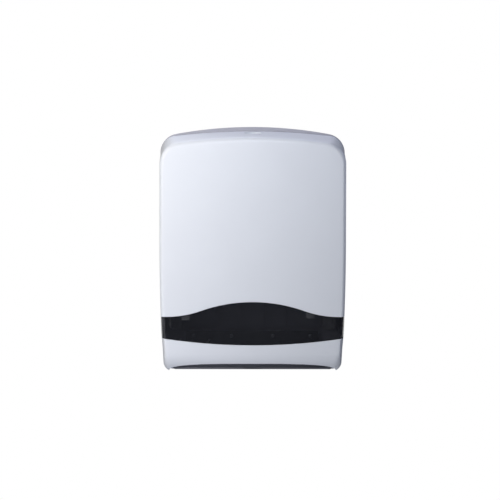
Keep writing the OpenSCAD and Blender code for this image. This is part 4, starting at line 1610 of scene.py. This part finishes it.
    def make_pin(self, side: int, node: str) -> None:
        """Builds a hinge pin.

        Args:
            side: 1 for the right one, -1 for the left one.
            node: The node that it stands for.
        """
        r, start, end = self.pin_r, self.house.lug_in, self.house.ear_in + self.house.hinge_t + 0.8
        profile = [
            (r + 0.8, start - 1.8), (r + 1.2, start - 1.4), (r + 1.2, start - 0.4), (r + 0.9, start - 0.1),
            (r, start - 0.1), (r, end - 0.4), (r - 0.4, end),
        ]
        profile = [(radius, side * x) for radius, x in profile]
        pin = turned(f"{node}_headed", profile, Axis.X, (0, *self.house.hinge), steps=48)
        dress(settle(pin), ZINC_STEEL, Body.WALL_UNIT, node)

    def build(self) -> None:
        """Builds the sub-assembly."""
        self.make_plate()
        self.make_tray()
        for side, name in ((-1, "left"), (1, "right")):
            self.make_guide(side, f"paper_guide_{name}")
            self.make_pin(side, f"hinge_pin_{name}")
        self.make_keeper()
        for node, places, sheet in (
            ("tray_screws", self.tray_screws, self.tray_wall),
            ("guide_screws", self.guide_screws, self.guide_t),
            ("keeper_screws", self.keeper_screws, self.lock.steel_t),
        ):
            screws = self.screw.drive_all(f"{node}_pan", Axis.Y, places, self.house.boss_y - sheet)
            dress(screws, ZINC_STEEL, Body.WALL_UNIT, node)


def towards(bearing: float, height: float) -> Vector:
    """Direction away from the object, from a bearing and a height in degrees from its front."""
    turn, rise = math.radians(bearing), math.radians(height)
    return Vector((math.sin(turn) * math.cos(rise), -math.cos(turn) * math.cos(rise), math.sin(rise)))


@dataclass(frozen=True)
class SoftBox:
    """A studio lamp behind a square diffuser, at a bearing and a height in degrees from the front."""

    name: str
    bearing: float
    height: float
    reach: float
    size: float
    watts: float
    colour: str
    aim: tuple[float, float, float] = (0.0, -0.06, 0.0)

    def hang(self) -> None:
        """Hangs the lamp at its place and turns it to the object."""
        lamp = bpy.data.lights.new(self.name, "AREA")
        lamp.size = self.size
        lamp.energy = self.watts
        lamp.color = linear(self.colour)[:3]
        stand = bpy.data.objects.new(self.name, lamp)
        stand.visible_camera = False
        away = towards(self.bearing, self.height)
        stand.location = Vector(self.aim) + away * self.reach
        stand.rotation_euler = (-away).to_track_quat("-Z", "Y").to_euler()
        bpy.context.scene.collection.objects.link(stand)


@dataclass
class Studio:
    """Floor, sky, lamps and camera."""

    azimuth: float = -0.3
    elevation: float = 3.2
    roll: float = 0.1
    distance: float = 2.8042
    target: tuple[float, float, float] = (0.0, -0.055, 0.0)
    lens: float = 134.397
    sensor: float = 36.0
    shift: tuple[float, float] = (-0.00517, -0.00439)
    floor_z: float = -1.05
    floor_r: float = 1.7
    floor_glow: float = 0.22
    sky: str = "#9aa6c8"
    sky_strength: float = 0.05
    lamps: tuple[SoftBox, ...] = (
        SoftBox("key_front", -15.0, 20.0, 1.2, 0.6, 3.95, "#f3f8ff"),
        SoftBox("front_high", 0.0, 40.0, 0.8, 0.4, 1.35, "#e6ebff"),
        SoftBox("left", -45.0, 20.0, 1.2, 0.8, 2.7, "#fffaee"),
        SoftBox("near_left", -45.0, 20.0, 0.8, 0.5, 1.3, "#fff6de"),
        SoftBox("low_left", -45.0, -8.0, 0.6, 0.35, 0.6, "#f6f4ff"),
        SoftBox("low_near", -30.0, -30.0, 0.8, 0.4, 0.2, "#c8d0ff"),
        SoftBox("side_high", -90.0, 60.0, 1.2, 0.8, 1.2, "#fff4e4"),
        SoftBox("right_rear", 115.0, 15.0, 1.2, 0.8, 2.9, "#e4eaff"),
        SoftBox("rear_left", -150.0, 45.0, 1.2, 0.9, 2.9, "#f0f5ff"),
        SoftBox("rear_low", 180.0, 20.0, 1.2, 0.9, 1.0, "#fffaf0"),
        SoftBox("rear_high", 180.0, 55.0, 1.2, 0.9, 3.4, "#d0d8ff"),
    )

    def lay_floor(self) -> None:
        """Lays the pale floor, whose own material glows evenly."""
        edge = unit_circle(96) * self.floor_r / MM
        low = self.floor_z / MM
        floor = prism("studio_floor", edge, Axis.Z, low - 5, low)
        sheet = FLOOR_PAPER.material()
        shader = sheet.node_tree.nodes["Principled BSDF"]
        shader.inputs["Emission Color"].default_value = linear("#ffffff")
        shader.inputs["Emission Strength"].default_value = self.floor_glow
        floor.data.materials.append(sheet)

    def open_sky(self) -> None:
        """Sets a white backdrop for the eye and a soft grey-blue light for the object."""
        world = bpy.data.worlds.new("studio_white")
        world.use_nodes = True
        tree = world.node_tree
        tree.nodes.clear()
        seen = add(tree, "ShaderNodeBackground", {"Color": (1, 1, 1, 1), "Strength": 1.0})
        soft = {"Color": linear(self.sky), "Strength": self.sky_strength}
        light = add(tree, "ShaderNodeBackground", soft)
        eye = add(tree, "ShaderNodeLightPath", {})
        both = add(tree, "ShaderNodeMixShader", {}, Fac=eye.outputs["Is Camera Ray"])
        tree.links.new(light.outputs["Background"], both.inputs[1])
        tree.links.new(seen.outputs["Background"], both.inputs[2])
        add(tree, "ShaderNodeOutputWorld", {}, Surface=both.outputs["Shader"])
        bpy.context.scene.world = world

    def set_camera(self) -> None:
        """Sets the camera at the photograph's angle."""
        lens = bpy.data.cameras.new("photo_camera")
        lens.lens = self.lens
        lens.sensor_width = self.sensor
        lens.shift_x, lens.shift_y = self.shift
        lens.clip_end = 50.0
        camera = bpy.data.objects.new("photo_camera", lens)
        back = towards(self.azimuth, self.elevation)
        camera.location = Vector(self.target) + back * self.distance
        turn = (-back).to_track_quat("-Z", "Y") @ Quaternion((0, 0, 1), math.radians(self.roll))
        camera.rotation_euler = turn.to_euler()
        bpy.context.scene.collection.objects.link(camera)
        bpy.context.scene.camera = camera

    def build(self) -> None:
        """Builds the studio."""
        self.set_camera()
        self.lay_floor()
        self.open_sky()
        for lamp in self.lamps:
            lamp.hang()
        bpy.context.scene.view_settings.view_transform = "Standard"


def main() -> None:
    """Builds the studio and the sub-assemblies in order."""
    logging.basicConfig(level=logging.INFO, format="%(message)s")
    Studio().build()
    house = Housing()
    cover = FrontCover(house)
    cover.build()
    lock = CamLock(cover)
    lock.build()
    BackUnit(house, lock).build()


if __name__ == "__main__":
    main()
